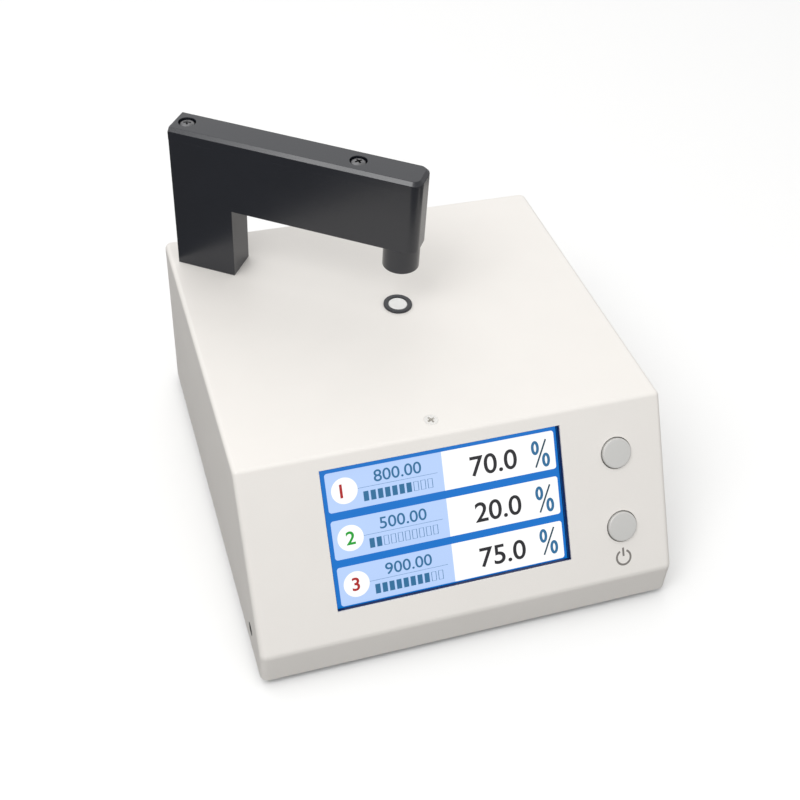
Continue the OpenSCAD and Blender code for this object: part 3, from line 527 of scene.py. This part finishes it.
boss_radius, boss_root, tapped_bore, sink_bore, sink_mouth = 2.7, -1, 1.3, 1.7, 2.85
bracket_face, board_face, tap_start, tap_end = -6.6, -12.4, -8, -2.8
sink = [(0, -4), (sink_bore, -4), (sink_bore, -1.35), (sink_mouth, 0), (sink_mouth, 1), (0, 1)]
inside = [(-depth / 2 + wall, rim - 1), drawn_in(wall)[0], drawn_in(wall)[1],
          (depth / 2 - wall, top - wall), (depth / 2 - wall, rim - 1)]
outline_to_side = Matrix(((0, 0, 1, 0), (1, 0, 0, 0), (0, 1, 0, 0), (0, 0, 0, 1)))
hollow = moved(drawn_up(inside, -width / 2 + wall, width / 2 - wall), outline_to_side)
bosses = together(
    [moved(rod(boss_radius, end, boss_root, 32), panel_spot(x, s))
     for end, spots in ((bracket_face, bracket_spots), (board_face, button_board_spots))
     for x, s in spots])
button_holes = together([hole(button_hole, panel_spot(button_x, s), 128)
                         for s in (power_s, operation_s)])
holes = together(
    [moved(block((window_left, window_low, -past_sheet), (window_right, window_high, past_sheet)),
           on_panel)]
    + [moved(rod(tapped_bore, tap_start, tap_end, 24), panel_spot(x, s))
       for x, s in bracket_spots]
    + [hole(receiver_hole, on_arm(light_s, arm_middle)),
       hole(lead_hole, on_arm(lead_s, arm_middle))]
    + [hole(arm_screw_hole, on_arm(s, arm_middle)) for s in arm_screws_s]
    + [moved(turned(sink, 64), place)
       for place in (at(top_screw_x, top_screw_y, top), *side_places, *rear_places)]
    + [hole(supply_hole, facing(supply_x, depth / 2, supply_z, "X", -90))])
warm_white_coat = finish("Warm white powder coat", (0.845, 0.815, 0.775, 1), 0.42, 0.55,
                         drift=0.035, gloss_drift=0.12, bump=0.1)


def round_a_button(edge):
    """Whether an edge lies on the rim of a button's hole."""
    return any(all((v.co - panel_spot(button_x, s).translation).length
                   < (button_hole + 0.5) * mm for v in edge.verts)
               for s in (power_s, operation_s))


cover_stock = carved(carved(carved(shell(), hollow), bosses, how="UNION"), holes)
cover = new_piece("powder_coated_cover",
                  eased(carved(eased(cover_stock, 0.25), button_holes), 0.08,
                        chosen=round_a_button),
                  warm_white_coat)
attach(cover, "housing")
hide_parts("upper_cover")


# Display: a tinned frame holds the glass, clamped by a steel bracket against a strip of black
# foam behind the window. A thin dark navy lining on the cut edge of the window is painted shade
# for the walls in shadow, tinted as a painted reflection of the blue picture.

black_foam = finish("Black foam", (0.012, 0.012, 0.014, 1), 0.9, 0.4, drift=0.4, bump=0.8)
tinned_frame = finish("Tinned frame", (0.6, 0.6, 0.6, 1), 0.3, 0.2, drift=0.2, metal=1.0)
dress(tinned_frame, "lcd_frame")
dress(zinc_plate, "display_bracket", "bracket_screws")


def around(x, y, reach, angle):
    """The point at an angle in degrees round a middle."""
    a = math.radians(angle)
    return x + reach * math.cos(a), y + reach * math.sin(a)


def plate(x0, x1, s0, s1, low, high, corners=(0, 0, 0, 0)):
    """A flat plate on the panel, with a radius for each corner, round from the lower left."""
    outline = []
    for (x, s), radius, start in zip(((x0, s0), (x1, s0), (x1, s1), (x0, s1)), corners,
                                     (180, 270, 0, 90)):
        middle = (x + (radius if x == x0 else -radius), s + (radius if s == s0 else -radius))
        outline += [around(*middle, radius, start + 90 * k / 8)
                    for k in range(9 if radius else 1)]
    return drawn_up(outline, low, high)


glass_face, glass_thick = -2.8, 1.2
glass_edges = (-57.75, 45.75, 10.4, 68.8)
strip_clear, shade_lining_clear, shade_lining_thick, shade_lining_top = 0.2, 0.03, 0.22, -0.8


def in_window(inset, low=-4, high=1):
    """A plate of the window's size, drawn in from its cut edge, or the tool for an opening."""
    return plate(window_left + inset, window_right - inset, window_low + inset,
                 window_high - inset, low, high)


strip = new_piece(
    "window_foam_strip",
    eased(carved(plate(*glass_edges, glass_face, -wall), in_window(-strip_clear)), 0.12, steps=2),
    black_foam, on_panel)
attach(strip, "housing")
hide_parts("window_gasket")
# Painted shade: a dark navy that stands in for the window's cut walls in shadow, tinted as a
# painted reflection of the blue picture
painted_shade_navy = finish("Window painted shade", (0.003, 0.016, 0.09, 1), 0.5, 0.2, drift=0.3, bump=0.1,
                Specular_IOR_Level=0.25)
shade_lining = new_piece(
    "window_painted_shade_lining",
    eased(carved(in_window(shade_lining_clear, glass_face + 0.05, shade_lining_top),
                 in_window(shade_lining_clear + shade_lining_thick)), 0.05, steps=2),
    painted_shade_navy, on_panel)
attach(shade_lining, "housing")

# The lit picture: fine rows of dots in front of a light that is a little uneven. Three cards
# each have a badge, a plain number over a bar of ten steps, and a reading in per cent.
screen_dots, given, made = effect("Screen dots", {"Colour": "Color"}, {"Colour": "Color"})
place = put(screen_dots, "ShaderNodeSeparateXYZ", {0: on_surface(screen_dots)})
dot_pitch = 0.24 * mm
rows_of_dots = [maths(screen_dots, "SINE", maths(screen_dots, "MULTIPLY", place.outputs[axis],
                                                 2 * math.pi / pitch))
                for axis, pitch in (("X", dot_pitch), ("Z", dot_pitch * math.sin(lean)))]
glow = put(screen_dots, "ShaderNodeTexNoise", {"Vector": on_surface(screen_dots), "Scale": 25.0})
level = maths(screen_dots, "ADD", 0.93,
              maths(screen_dots, "ADD",
                    maths(screen_dots, "MULTIPLY", 0.02, maths(screen_dots, "ADD",
                                                               *rows_of_dots)),
                    maths(screen_dots, "MULTIPLY", 0.1, glow.outputs[0])))
screen_dots.links.new(
    put(screen_dots, "ShaderNodeHueSaturation",
        {"Color": given["Colour"], "Value": level}).outputs[0], made["Colour"])


def tint(red, green, blue):
    """A colour as a screen shows it, 0 to 255, in linear light."""
    return tuple((v / 255 / 12.92 if v < 10.3 else ((v / 255 + 0.055) / 1.055) ** 2.4)
                 for v in (red, green, blue)) + (1.0,)


def lit(name, *shown):
    """A lit tone of the picture, behind the glass's gloss."""
    colour = tint(*shown)
    material = finish(name, tuple(v * unlit_share for v in colour[:3]) + (1,), 0.25, 0.1,
                      bump=0.02, Emission_Strength=0.95, Specular_IOR_Level=0.25)
    tree = material.node_tree
    dots = put(tree, "ShaderNodeGroup", {"Colour": colour}, node_tree=screen_dots)
    tree.links.new(dots.outputs["Colour"], tree.nodes["Principled BSDF"].inputs["Emission Color"])
    return material


unlit_share = 0.12
lit_blue = lit("Lit blue", 8, 112, 200)
lit_lilac = lit("Lit lilac", 183, 208, 249)
lit_white = lit("Lit white", 255, 255, 255)
lit_teal = lit("Lit teal", 46, 108, 152)
lit_slate = lit("Lit slate", 45, 75, 90)
lit_grey = lit("Lit grey", 38, 38, 42)
lit_red = lit("Lit red", 172, 34, 34)
lit_green = lit("Lit green", 32, 158, 48)

ground = new_piece(
    "picture_ground",
    eased(plate(*glass_edges, glass_face - glass_thick, glass_face), 0.1, steps=2),
    lit_blue, on_panel)
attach(ground, "housing")
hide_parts("lcd_glass")


def inlay(name, shapes, material):
    """One piece of the picture: shapes that lie on the glass, all of one tone."""
    piece = new_piece(name, together(shapes), material, on_panel)
    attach(piece, "housing")
    return piece


film_thick = 0.02


def film(layer):
    """The heights that a layer of the picture lies between."""
    low = glass_face + film_thick * layer
    return low, low + film_thick


card_middles = (57.1, 38.65, 20.35)
card_half, card_left, card_right, card_split, card_round = 7.65, -51.65, 39.8, -6.1, 1.1
inlay("picture_cards_left",
      [plate(card_left, card_split, c - card_half, c + card_half, *film(0),
             (card_round, 0, 0, card_round)) for c in card_middles], lit_lilac)
inlay("picture_cards_right",
      [plate(card_split, card_right, c - card_half, c + card_half, *film(0),
             (0, card_round, card_round, 0)) for c in card_middles], lit_white)
# Painted shade: a thin dark navy strip on the glass along the window's right wall, where that wall
# shades the picture
margin_wide, margin_clear = 0.45, 0.3
margin_right = window_right - margin_clear
inlay("picture_painted_shade_margin",
      [plate(margin_right - margin_wide, margin_right, window_low + margin_clear,
             window_high - margin_clear, *film(0))], painted_shade_navy)


def oval(x, s, across, up, steps):
    """Points round an oval, by its middle and how far it reaches across and up."""
    return [(x + across * math.cos(2 * math.pi * i / steps),
             s + up * math.sin(2 * math.pi * i / steps)) for i in range(steps)]


def band(points, thick, low, high, closed=False):
    """A band of one width that follows the points."""
    left, right = [], []
    for i, here in enumerate(points):
        here = Vector(here)
        back = Vector(points[i - 1]) if closed or i else here
        on = Vector(points[(i + 1) % len(points)]) if closed or i < len(points) - 1 else here
        out = Vector((back.y - on.y, on.x - back.x)).normalized() * thick / 2
        left.append(here + out)
        right.append(here - out)
    work = bmesh.new()
    rows = [[work.verts.new((p.x * mm, p.y * mm, z * mm)) for p in side]
            for side, z in ((left, low), (right, low), (right, high), (left, high))]
    count = len(points)
    for i in range(count if closed else count - 1):
        j = (i + 1) % count
        for a, b in ((0, 1), (1, 2), (2, 3), (3, 0)):
            work.faces.new((rows[a][i], rows[a][j], rows[b][j], rows[b][i]))
    if not closed:
        work.faces.new([row[0] for row in rows])
        work.faces.new([row[-1] for row in rows][::-1])
    bmesh.ops.recalc_face_normals(work, faces=work.faces)
    return work


def numerals(text, left, foot, height, layer=1, wide=1, right=None, heavier=0.0):
    """Figures in the plain face, set by their left end and their foot, or by both ends."""
    curve = bpy.data.curves.new("step", "FONT")
    curve.body, curve.offset = text, heavier
    item = bpy.data.objects.new("step", curve)
    mesh = bpy.data.meshes.new_from_object(item)
    bpy.data.objects.remove(item)
    flat = bmesh.new()
    flat.from_mesh(mesh)
    bpy.data.meshes.remove(mesh)
    bmesh.ops.remove_doubles(flat, verts=flat.verts, dist=1e-5)
    xs, ys = [v.co.x for v in flat.verts], [v.co.y for v in flat.verts]
    rise = height / (max(ys) - min(ys))
    if right is not None:
        wide = (right - left) / ((max(xs) - min(xs)) * rise)
    flat.transform(at(left, foot, film(layer)[0])
                   @ Matrix.Diagonal((rise * wide * mm, rise * mm, 1, 1))
                   @ Matrix.Translation((-min(xs), -min(ys), 0)))
    skin = bmesh.ops.extrude_face_region(flat, geom=flat.faces[:])
    bmesh.ops.translate(flat, vec=(0, 0, film_thick * mm),
                        verts=[v for v in skin["geom"] if isinstance(v, bmesh.types.BMVert)])
    bmesh.ops.recalc_face_normals(flat, faces=flat.faces)
    return flat


badge_x, badge_radius, badge_figure_left, badge_figure_high = -44.8, 5.05, -46.6, 5.3


def badge_figure(k):
    """The number in a card's badge."""
    return numerals(str(k + 1), badge_figure_left, card_middles[k] - badge_figure_high / 2,
                    badge_figure_high, layer=2, wide=1.05, heavier=0.018)


inlay("picture_badges", [drawn_up(oval(badge_x, c, badge_radius, badge_radius, 64), *film(1))
                         for c in card_middles], lit_white)
inlay("picture_badge_figures_red", [badge_figure(0), badge_figure(2)], lit_red)
inlay("picture_badge_figure_green", [badge_figure(1)], lit_green)

number_left, number_right, number_foot, number_high = -33.1, -14.5, 1.1, 4.6
inlay("picture_channel_numbers",
      [numerals(text, number_left, c + number_foot, number_high, right=number_right,
                heavier=0.008)
       for text, c in zip(("800.00", "500.00", "900.00"), card_middles)], lit_teal)

rule_left, rule_right, rule_s, rule_line = -39.7, -8.3, -0.1, 0.12
bar_left, bar_pitch, bar_wide, bar_low, bar_high, bar_line = -37.8, 2.8, 2.0, -5.5, -1.7, 0.24
bar_steps, steps_full = 10, (7, 2, 8)


def full_step(c, k):
    """A filled step of a card's bar."""
    left = bar_left + k * bar_pitch
    return plate(left, left + bar_wide, c + bar_low, c + bar_high, *film(1))


def empty_step(c, k):
    """A step of a card's bar that is only an outline."""
    left, low = bar_left + k * bar_pitch + bar_line / 2, c + bar_low + bar_line / 2
    right, high = left + bar_wide - bar_line, low + bar_high - bar_low - bar_line
    return band([(left, low), (right, low), (right, high), (left, high)], bar_line, *film(1),
                closed=True)


inlay("picture_rules_and_bars",
      [band([(rule_left, c + rule_s), (rule_right, c + rule_s)], rule_line, *film(1))
       for c in card_middles]
      + [full_step(c, k) for c, full in zip(card_middles, steps_full) for k in range(full)]
      + [empty_step(c, k) for c, full in zip(card_middles, steps_full)
         for k in range(full, bar_steps)], lit_teal)

reading_left, reading_right, reading_foot, reading_high = 4.8, 23.9, -4.5, 8.0
inlay("picture_readings",
      [numerals(text, reading_left, c + reading_foot, reading_high, right=reading_right,
                heavier=0.012)
       for text, c in zip(("70.0", "20.0", "75.0"), card_middles)], lit_grey)

sign_middles, sign_rings = (57, 38.7, 21.2), ((31.7, 2.1), (35.85, -3.3))
ring_half, ring_rise = 1.08, 2.25
ring_line, stroke_line, stroke_foot, stroke_head = 1.15, 0.72, (31.4, -5.7), (36.35, 4.9)
inlay("picture_per_cent_rings",
      [band(oval(x, c + up, ring_half, ring_rise, 48), ring_line, *film(1), closed=True)
       for x, up in sign_rings for c in sign_middles], lit_teal)
inlay("picture_per_cent_strokes",
      [band([(x, c + up) for x, up in (stroke_foot, stroke_head)], stroke_line, *film(2))
       for c in sign_middles], lit_slate)


# Buttons: two moulded caps in satin silver with a rolled rim and a low crown, each kept in its
# hole by a flange behind the panel. A switch on a small board carries each of them.

satin_silver = finish("Satin silver", (0.64, 0.635, 0.615, 1), 0.46, 0.12, drift=0.08, bump=0.12,
                      metal=0.25, Coat_Weight=0.15, Coat_Roughness=0.35)
crown_radius, crown_top, crown_fall, crown_steps = 5.5, 1.2, 0.04, 12
roll, roll_middle, roll_height = 0.42, 5.63, 0.73
cap_radius, flange_radius, flange_top, flange_low = 6.05, 7.8, -2.3, -3.3
stem_radius, stem_end = 2, -6.1
crown = [(crown_radius * k / crown_steps, crown_top - crown_fall * (k / crown_steps) ** 2)
         for k in range(crown_steps + 1)]
rolled = [around(roll_middle, roll_height, roll, angle) for angle in range(90, -1, -9)]
cap_outline = crown + rolled + [
    (cap_radius, -2.2), (cap_radius, flange_top), (flange_radius, flange_top),
    (flange_radius, flange_low), (stem_radius, flange_low), (stem_radius, stem_end), (0, stem_end)]
for button, node, s in (("operation", "operation_cap", operation_s),
                        ("power", "power_cap", power_s)):
    cap = new_piece(button + "_button_cap", turned(cap_outline, 128), satin_silver,
                    panel_spot(button_x, s))
    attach(cap, button + "_button")
    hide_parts(node)


# Power mark: printed on the panel below the lower button in grey ink, a ring open at the top
# with a bar in the opening. The ink stands a few hundredths of a millimetre proud.

mark_x, mark_s, mark_ring, mark_stroke, mark_gap = 63.9, 8.3, 3.0, 0.82, 28
mark_bar_low, mark_bar_high, ink_thick = 0.55, 4.1, 0.03
grey_ink = finish("Grey ink", (0.215, 0.2, 0.185, 1), 0.5, 0.15, drift=0.2, bump=0.2)
power_mark = new_piece(
    "power_mark",
    together([band([around(mark_x, mark_s, mark_ring,
                           90 + mark_gap + (360 - 2 * mark_gap) * k / 60) for k in range(61)],
                   mark_stroke, 0, ink_thick),
              band([(mark_x, mark_s + mark_bar_low), (mark_x, mark_s + mark_bar_high)],
                   mark_stroke, 0, ink_thick)]),
    grey_ink, on_panel)
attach(power_mark, "housing")


# Cover screws: countersunk, with a tapered cross recess. The one in the top is dull nickel and
# goes into the pillar; the ones in the sides and the rear are black and go into the base.

def cross_tool(reach, depth, thick=1.05, foot_reach=0.35, foot_thick=0.6):
    """The two wedges that strike a cross recess, each drawn in to these shares at its foot."""
    wedges = []
    for turn in (0, 90):
        wedge = block((-reach, -thick / 2, -depth), (reach, thick / 2, depth))
        for v in wedge.verts:
            if v.co.z < 0:
                v.co.x *= foot_reach
                v.co.y *= foot_thick
        wedge.transform(Matrix.Rotation(math.radians(turn), 4, "Z"))
        wedges.append(wedge)
    return wedges


def screw(outline, top_at, depth, turn, chosen_above):
    """A screw turned from its outline, with the cross struck in its head and its edges eased."""
    tools = [moved(tool, facing(0, 0, top_at, "Z", turn))
             for tool in cross_tool(cross_reach, depth)]
    return eased(carved(turned(outline, 64), *tools), 0.06, steps=2,
                 chosen=lambda e: min(v.co.z for v in e.verts) > chosen_above * mm)


dull_nickel = finish("Dull nickel", (0.9, 0.885, 0.855, 1), 0.45, 0.12, drift=0.06, metal=0.9)
black_oxide = finish("Black oxide", (0.02, 0.02, 0.021, 1), 0.34, 0.12, drift=0.3, metal=0.6,
                     rub=(0.15, 0.5, (0.2, 0.2, 0.2, 1)))
screw_tip, screw_shank, cross_reach = 1.3, 1.5, 2.4
flat_radius, flat_seat = 2.72, -1.42


def flat_head(length, turn):
    """A countersunk screw with its head level with the face that it is sunk in."""
    outline = [(0, -length), (screw_tip, -length), (screw_shank, -length + 0.3),
               (screw_shank, flat_seat), (flat_radius, -0.2), (flat_radius, -0.02), (0, 0)]
    return screw(outline, top_at=0, depth=2, turn=turn, chosen_above=-0.1)


for name, length, material, slot_name, places in (
        ("top_screw", 10, dull_nickel, "nickel_screw",
         [facing(top_screw_x, top_screw_y, top, "Z", 25)]),
        ("side_screws", 6.2, black_oxide, "black_screw", side_places),
        ("rear_screws", 6.2, black_oxide, "black_screw", rear_places)):
    heads = new_piece(name + "_crossed",
                      together([moved(flat_head(length, 25 * k), place)
                                for k, place in enumerate(places)]), material)
    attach(heads, "housing")
    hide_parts(name)


# Receiver: a black anodised tube through the top, held by a nut from below. Its low rim stands
# round an opal disc, under which the photo sensor looks up at the light head.

black_anodised = finish("Black anodised", (0.006, 0.0075, 0.013, 1), 0.24, 0.14, drift=0.25,
                        gloss_drift=0.1, bump=0.12, rub=(0.22, 0.35, (0.06, 0.06, 0.065, 1)),
                        IOR=1.62)
opal_disc = finish("Opal disc", (0.82, 0.82, 0.8, 1), 0.22, 0.2, drift=0.04, bump=0.05,
                   Subsurface_Weight=0.4, Subsurface_Radius=(2 * mm, 2 * mm, 2 * mm))
rim_radius, rim_high, tube_radius, tube_end = 6, 0.8, 5.25, -18
tube_bore, disc_bore, disc_seat = 3, 4.05, -0.95
disc_radius, disc_edge = 3.95, 0.5
light_line = on_arm(light_s, arm_middle)
receiver = new_piece(
    "receiver_rim_and_tube",
    turned([(tube_bore, tube_end), (tube_bore, disc_seat), (disc_bore, disc_seat)]
           + softened([(disc_bore, disc_seat), (disc_bore, rim_high), (rim_radius, rim_high),
                       (rim_radius, 0.02)], 0.25)
           + [(rim_radius, 0), (tube_radius, 0), (tube_radius, tube_end + 0.2),
              (tube_radius - 0.2, tube_end)], 128, closed=True),
    black_anodised, light_line)
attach(receiver, "housing")
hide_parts("receiver_tube")
disc = new_piece(
    "receiver_opal_disc",
    turned([(0, disc_seat), (disc_radius, disc_seat)]
           + softened([(disc_radius, disc_seat), (disc_radius, disc_edge), (2, disc_edge + 0.12),
                       (0, disc_edge + 0.14)], 0.2), 96),
    opal_disc, light_line)
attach(disc, "housing")
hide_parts("diffuser_disc")
dress(zinc_plate, "receiver_nut")


# Arm: milled from one piece of aluminium with a channel for the lead, bead blasted and black
# anodised. Two screws from inside the cover hold its leg on a steel plate.

arm_long, arm_thick, arm_lid_low, arm_under, leg_wide = 104.6, 15, 60, 32.4, 25.9
end_round, lid_screws_at, past = 4.2, (5, 77), 1
channel_start, channel_low, channel_wall = 8.6, 48, 3
chamber, chamber_low, chamber_high, light_bore = 5.7, 43, 61.5, 4
spigot_bore, spigot_low, spigot_high = 6.05, 31, 41
arm_tap, arm_tap_high, lid_tap, lid_tap_low = 2.05, 10.4, 1.55, 52


def arm_plan(inset=0):
    """The arm seen from above, drawn in along its edges and round its free end."""
    radius = end_round - inset
    outline = [(0, inset)]
    for v, start in ((end_round, 270), (arm_thick - end_round, 0)):
        outline += [around(arm_long - end_round, v, radius, start + 90 * k / 16)
                    for k in range(17)]
    return outline + [(0, arm_thick - inset)]


def bored(s, radius, low, high, steps=64):
    """The tool for an upright bore in the middle of the arm's width."""
    return moved(rod(radius, low, high, steps), at(s, arm_middle))


def below_the_seam(edge):
    """Whether an edge of the arm lies clear of the lid."""
    return min(v.co.z for v in edge.verts) < (arm_lid_low - 0.1) * mm


side_view = drawn_up([(-past, -past), (leg_wide, -past), (leg_wide, arm_under),
                      (arm_long + past, arm_under), (arm_long + past, arm_lid_low + past),
                      (-past, arm_lid_low + past)], -arm_thick - past, past)
arm_stock = carved(drawn_up(arm_plan(), 0, arm_lid_low),
                   moved(side_view, facing(0, 0, 0, "X", 90)), how="INTERSECT")
arm = new_piece(
    "anodised_arm",
    carved(eased(arm_stock, 0.22, chosen=below_the_seam),
           block((channel_start, channel_wall, channel_low),
                 (light_s, arm_thick - channel_wall, arm_lid_low + past)),
           bored(lead_s, lead_hole, -past, channel_low + past),
           together([bored(s, arm_tap, -past, arm_tap_high) for s in arm_screws_s]
                    + [bored(lid_screws_at[0], lid_tap, lid_tap_low, arm_lid_low + past),
                       bored(light_s, chamber, chamber_low, chamber_high)]),
           bored(light_s, spigot_bore, spigot_low, spigot_high),
           bored(light_s, light_bore, spigot_high - past, chamber_low + past)),
    black_anodised, on_arm(0, 0))
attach(arm, "housing")
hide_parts("arm_body")
dress(zinc_plate, "arm_screws", "arm_plate")


# Arm lid: a 5 mm anodised plate that closes the channel, bevelled along its upper edges. Two pan
# screws of grey steel hold it, sunk in counterbores.

lid_thick, bevel, sunk, lid_bore, counterbore = 5, 1.4, 2.6, 1.7, 3.5
lid_stock = stacked([(arm_plan(), 0), (arm_plan(), lid_thick - bevel),
                     (arm_plan(bevel), lid_thick)])
pan_seat, join_low, join_high = lid_thick - sunk, 2, 3
# The screws' bores stop just short of their counterbores, and a second cut joins them
lid = new_piece(
    "anodised_arm_lid",
    eased(carved(lid_stock,
                 together([bored(s, lid_bore, -past, pan_seat - 0.1, 32) for s in lid_screws_at]
                          + [bored(s, counterbore, pan_seat, lid_thick + past)
                             for s in lid_screws_at]),
                 together([bored(s, lid_bore, join_low, join_high, 32)
                           for s in lid_screws_at])),
          0.14, turn=30, chosen=lambda edge: min(v.co.z for v in edge.verts) > 0.2 * mm),
    black_anodised, on_arm(0, 0, arm_lid_low))
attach(lid, "housing")
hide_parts("arm_lid")

pan_radius, pan_side, pan_top, pan_length = 3.25, 1.45, 2.5, 10
dome = [(pan_radius * math.cos(math.radians(a)),
         pan_side + (pan_top - pan_side) * math.sin(math.radians(a))) for a in range(0, 90, 9)]
pan_outline = [(0, -pan_length), (screw_tip, -pan_length), (screw_shank, -pan_length + 0.3),
               (screw_shank, 0), (pan_radius, 0)] + dome + [(0, pan_top)]
grey_steel = finish("Grey steel", (0.17, 0.17, 0.175, 1), 0.28, 0.1, drift=0.3, gloss_drift=0.2,
                    bump=0.1, metal=1.0)
lid_heads = new_piece(
    "lid_screws_crossed",
    together([moved(screw(pan_outline, top_at=pan_top, depth=1.9, turn=20 + 30 * k,
                          chosen_above=1.5),
                    on_arm(s, arm_middle, arm_lid_low + pan_seat))
              for k, s in enumerate(lid_screws_at)]),
    grey_steel)
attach(lid_heads, "housing")
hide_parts("lid_screws")


# Light head: a tube turned to the arm's width and pressed into its underside, with a lens in its
# mouth. Light from three emitters in the arm comes down it to the receiver.

tube_low, tube_top, lens_seat = 21.6, 40.9, 24.1
tube_wide, spigot_radius, mouth_bore = 7.5, 6, 5.55
nozzle = new_piece(
    "anodised_light_tube",
    turned(softened([(mouth_bore, tube_low), (tube_wide, tube_low), (tube_wide, arm_under),
                     (spigot_radius, arm_under), (spigot_radius, tube_top),
                     (light_bore, tube_top), (light_bore, lens_seat), (mouth_bore, lens_seat)],
                    0.22, closed=True), 160, closed=True),
    black_anodised, light_line)
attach(nozzle, "housing")
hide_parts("nozzle")
lens_glass = finish("Lens glass", (0.93, 0.97, 0.98, 1), 0.04, 0.3, drift=0.02, gloss_drift=0.02,
                    bump=0.01, Transmission_Weight=1.0, IOR=1.5)
lens_radius, lens_low, lens_bulge, lens_top, lens_steps = 5.45, 22.32, 0.5, 24.05, 10
lens = new_piece(
    "light_tube_lens",
    turned([(lens_radius * k / lens_steps, lens_low + lens_bulge * (k / lens_steps) ** 2)
            for k in range(lens_steps + 1)] + [(lens_radius, lens_top), (0, lens_top)], 96),
    lens_glass, light_line)
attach(lens, "housing")
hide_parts("nozzle_lens")


# The studio: a round pale floor, five soft lights (the widest overhead, the others from the left,
# the front, the back and high behind), and the camera above the meter's front left.

scene = bpy.context.scene
scene.view_settings.view_transform = "Standard"

# The camera sees the floor and the sky nearly white. What bounces off them is greyer, so that the
# meter's sides keep their shade.
pale_floor = finish("Pale floor", (0.18, 0.18, 0.178, 1), 0.8, 3.0, drift=0.01, bump=0.02)
laid_over(pale_floor, put(pale_floor.node_tree, "ShaderNodeLightPath").outputs["Is Camera Ray"],
          (0.97, 0.97, 0.965, 1))
floor_work, floor_radius = bmesh.new(), 1.4
bmesh.ops.create_circle(floor_work, cap_ends=True, segments=96, radius=floor_radius)
floor = new_piece("floor", floor_work, pale_floor)
floor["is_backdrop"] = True

scene.world = bpy.data.worlds.new("Studio")
scene.world.use_nodes = True
sky = scene.world.node_tree
background = sky.nodes["Background"].inputs
background["Color"].default_value = (1.0, 1.0, 1.0, 1)
sky.links.new(put(sky, "ShaderNodeMapRange",
                  {"Value": put(sky, "ShaderNodeLightPath").outputs["Is Camera Ray"],
                   "To Min": 0.74, "To Max": 1.0}).outputs[0], background["Strength"])


def soft_light(name, place, size, power):
    """A rectangular light, turned to the middle of the meter."""
    lamp = bpy.data.lights.new(name, "AREA")
    lamp.shape, lamp.size, lamp.size_y = "RECTANGLE", *size
    lamp.energy = power
    item = bpy.data.objects.new(name, lamp)
    scene.collection.objects.link(item)
    item.location = place
    item.rotation_euler = (middle - Vector(place)).to_track_quat("-Z", "Y").to_euler()


middle = Vector((0, 0, 0.05))
soft_light("overhead_light", (-0.5, -0.35, 1.5), (1.4, 1.4), 4.5)
soft_light("left_light", (-0.5, -0.32, 0.85), (0.4, 0.4), 2)
soft_light("front_light", (0.1, -1.5, 0.7), (1.2, 0.6), 1.6)
soft_light("back_light", (0.35, 1.6, 1.0), (1.6, 0.9), 2)
soft_light("high_back_light", (-0.2, 0.9, 1.5), (1, 0.8), 2.2)

eye = bpy.data.cameras.new("camera")
eye.lens, eye.sensor_width, eye.clip_start = 53.732, 36, 0.01
camera = bpy.data.objects.new("camera", eye)
scene.collection.objects.link(camera)
camera.location = (-0.132619, -0.342748, 0.391264)
camera.rotation_euler = [math.radians(a) for a in (46.6743, -3.1104, -17.6785)]
scene.camera = camera

low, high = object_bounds()
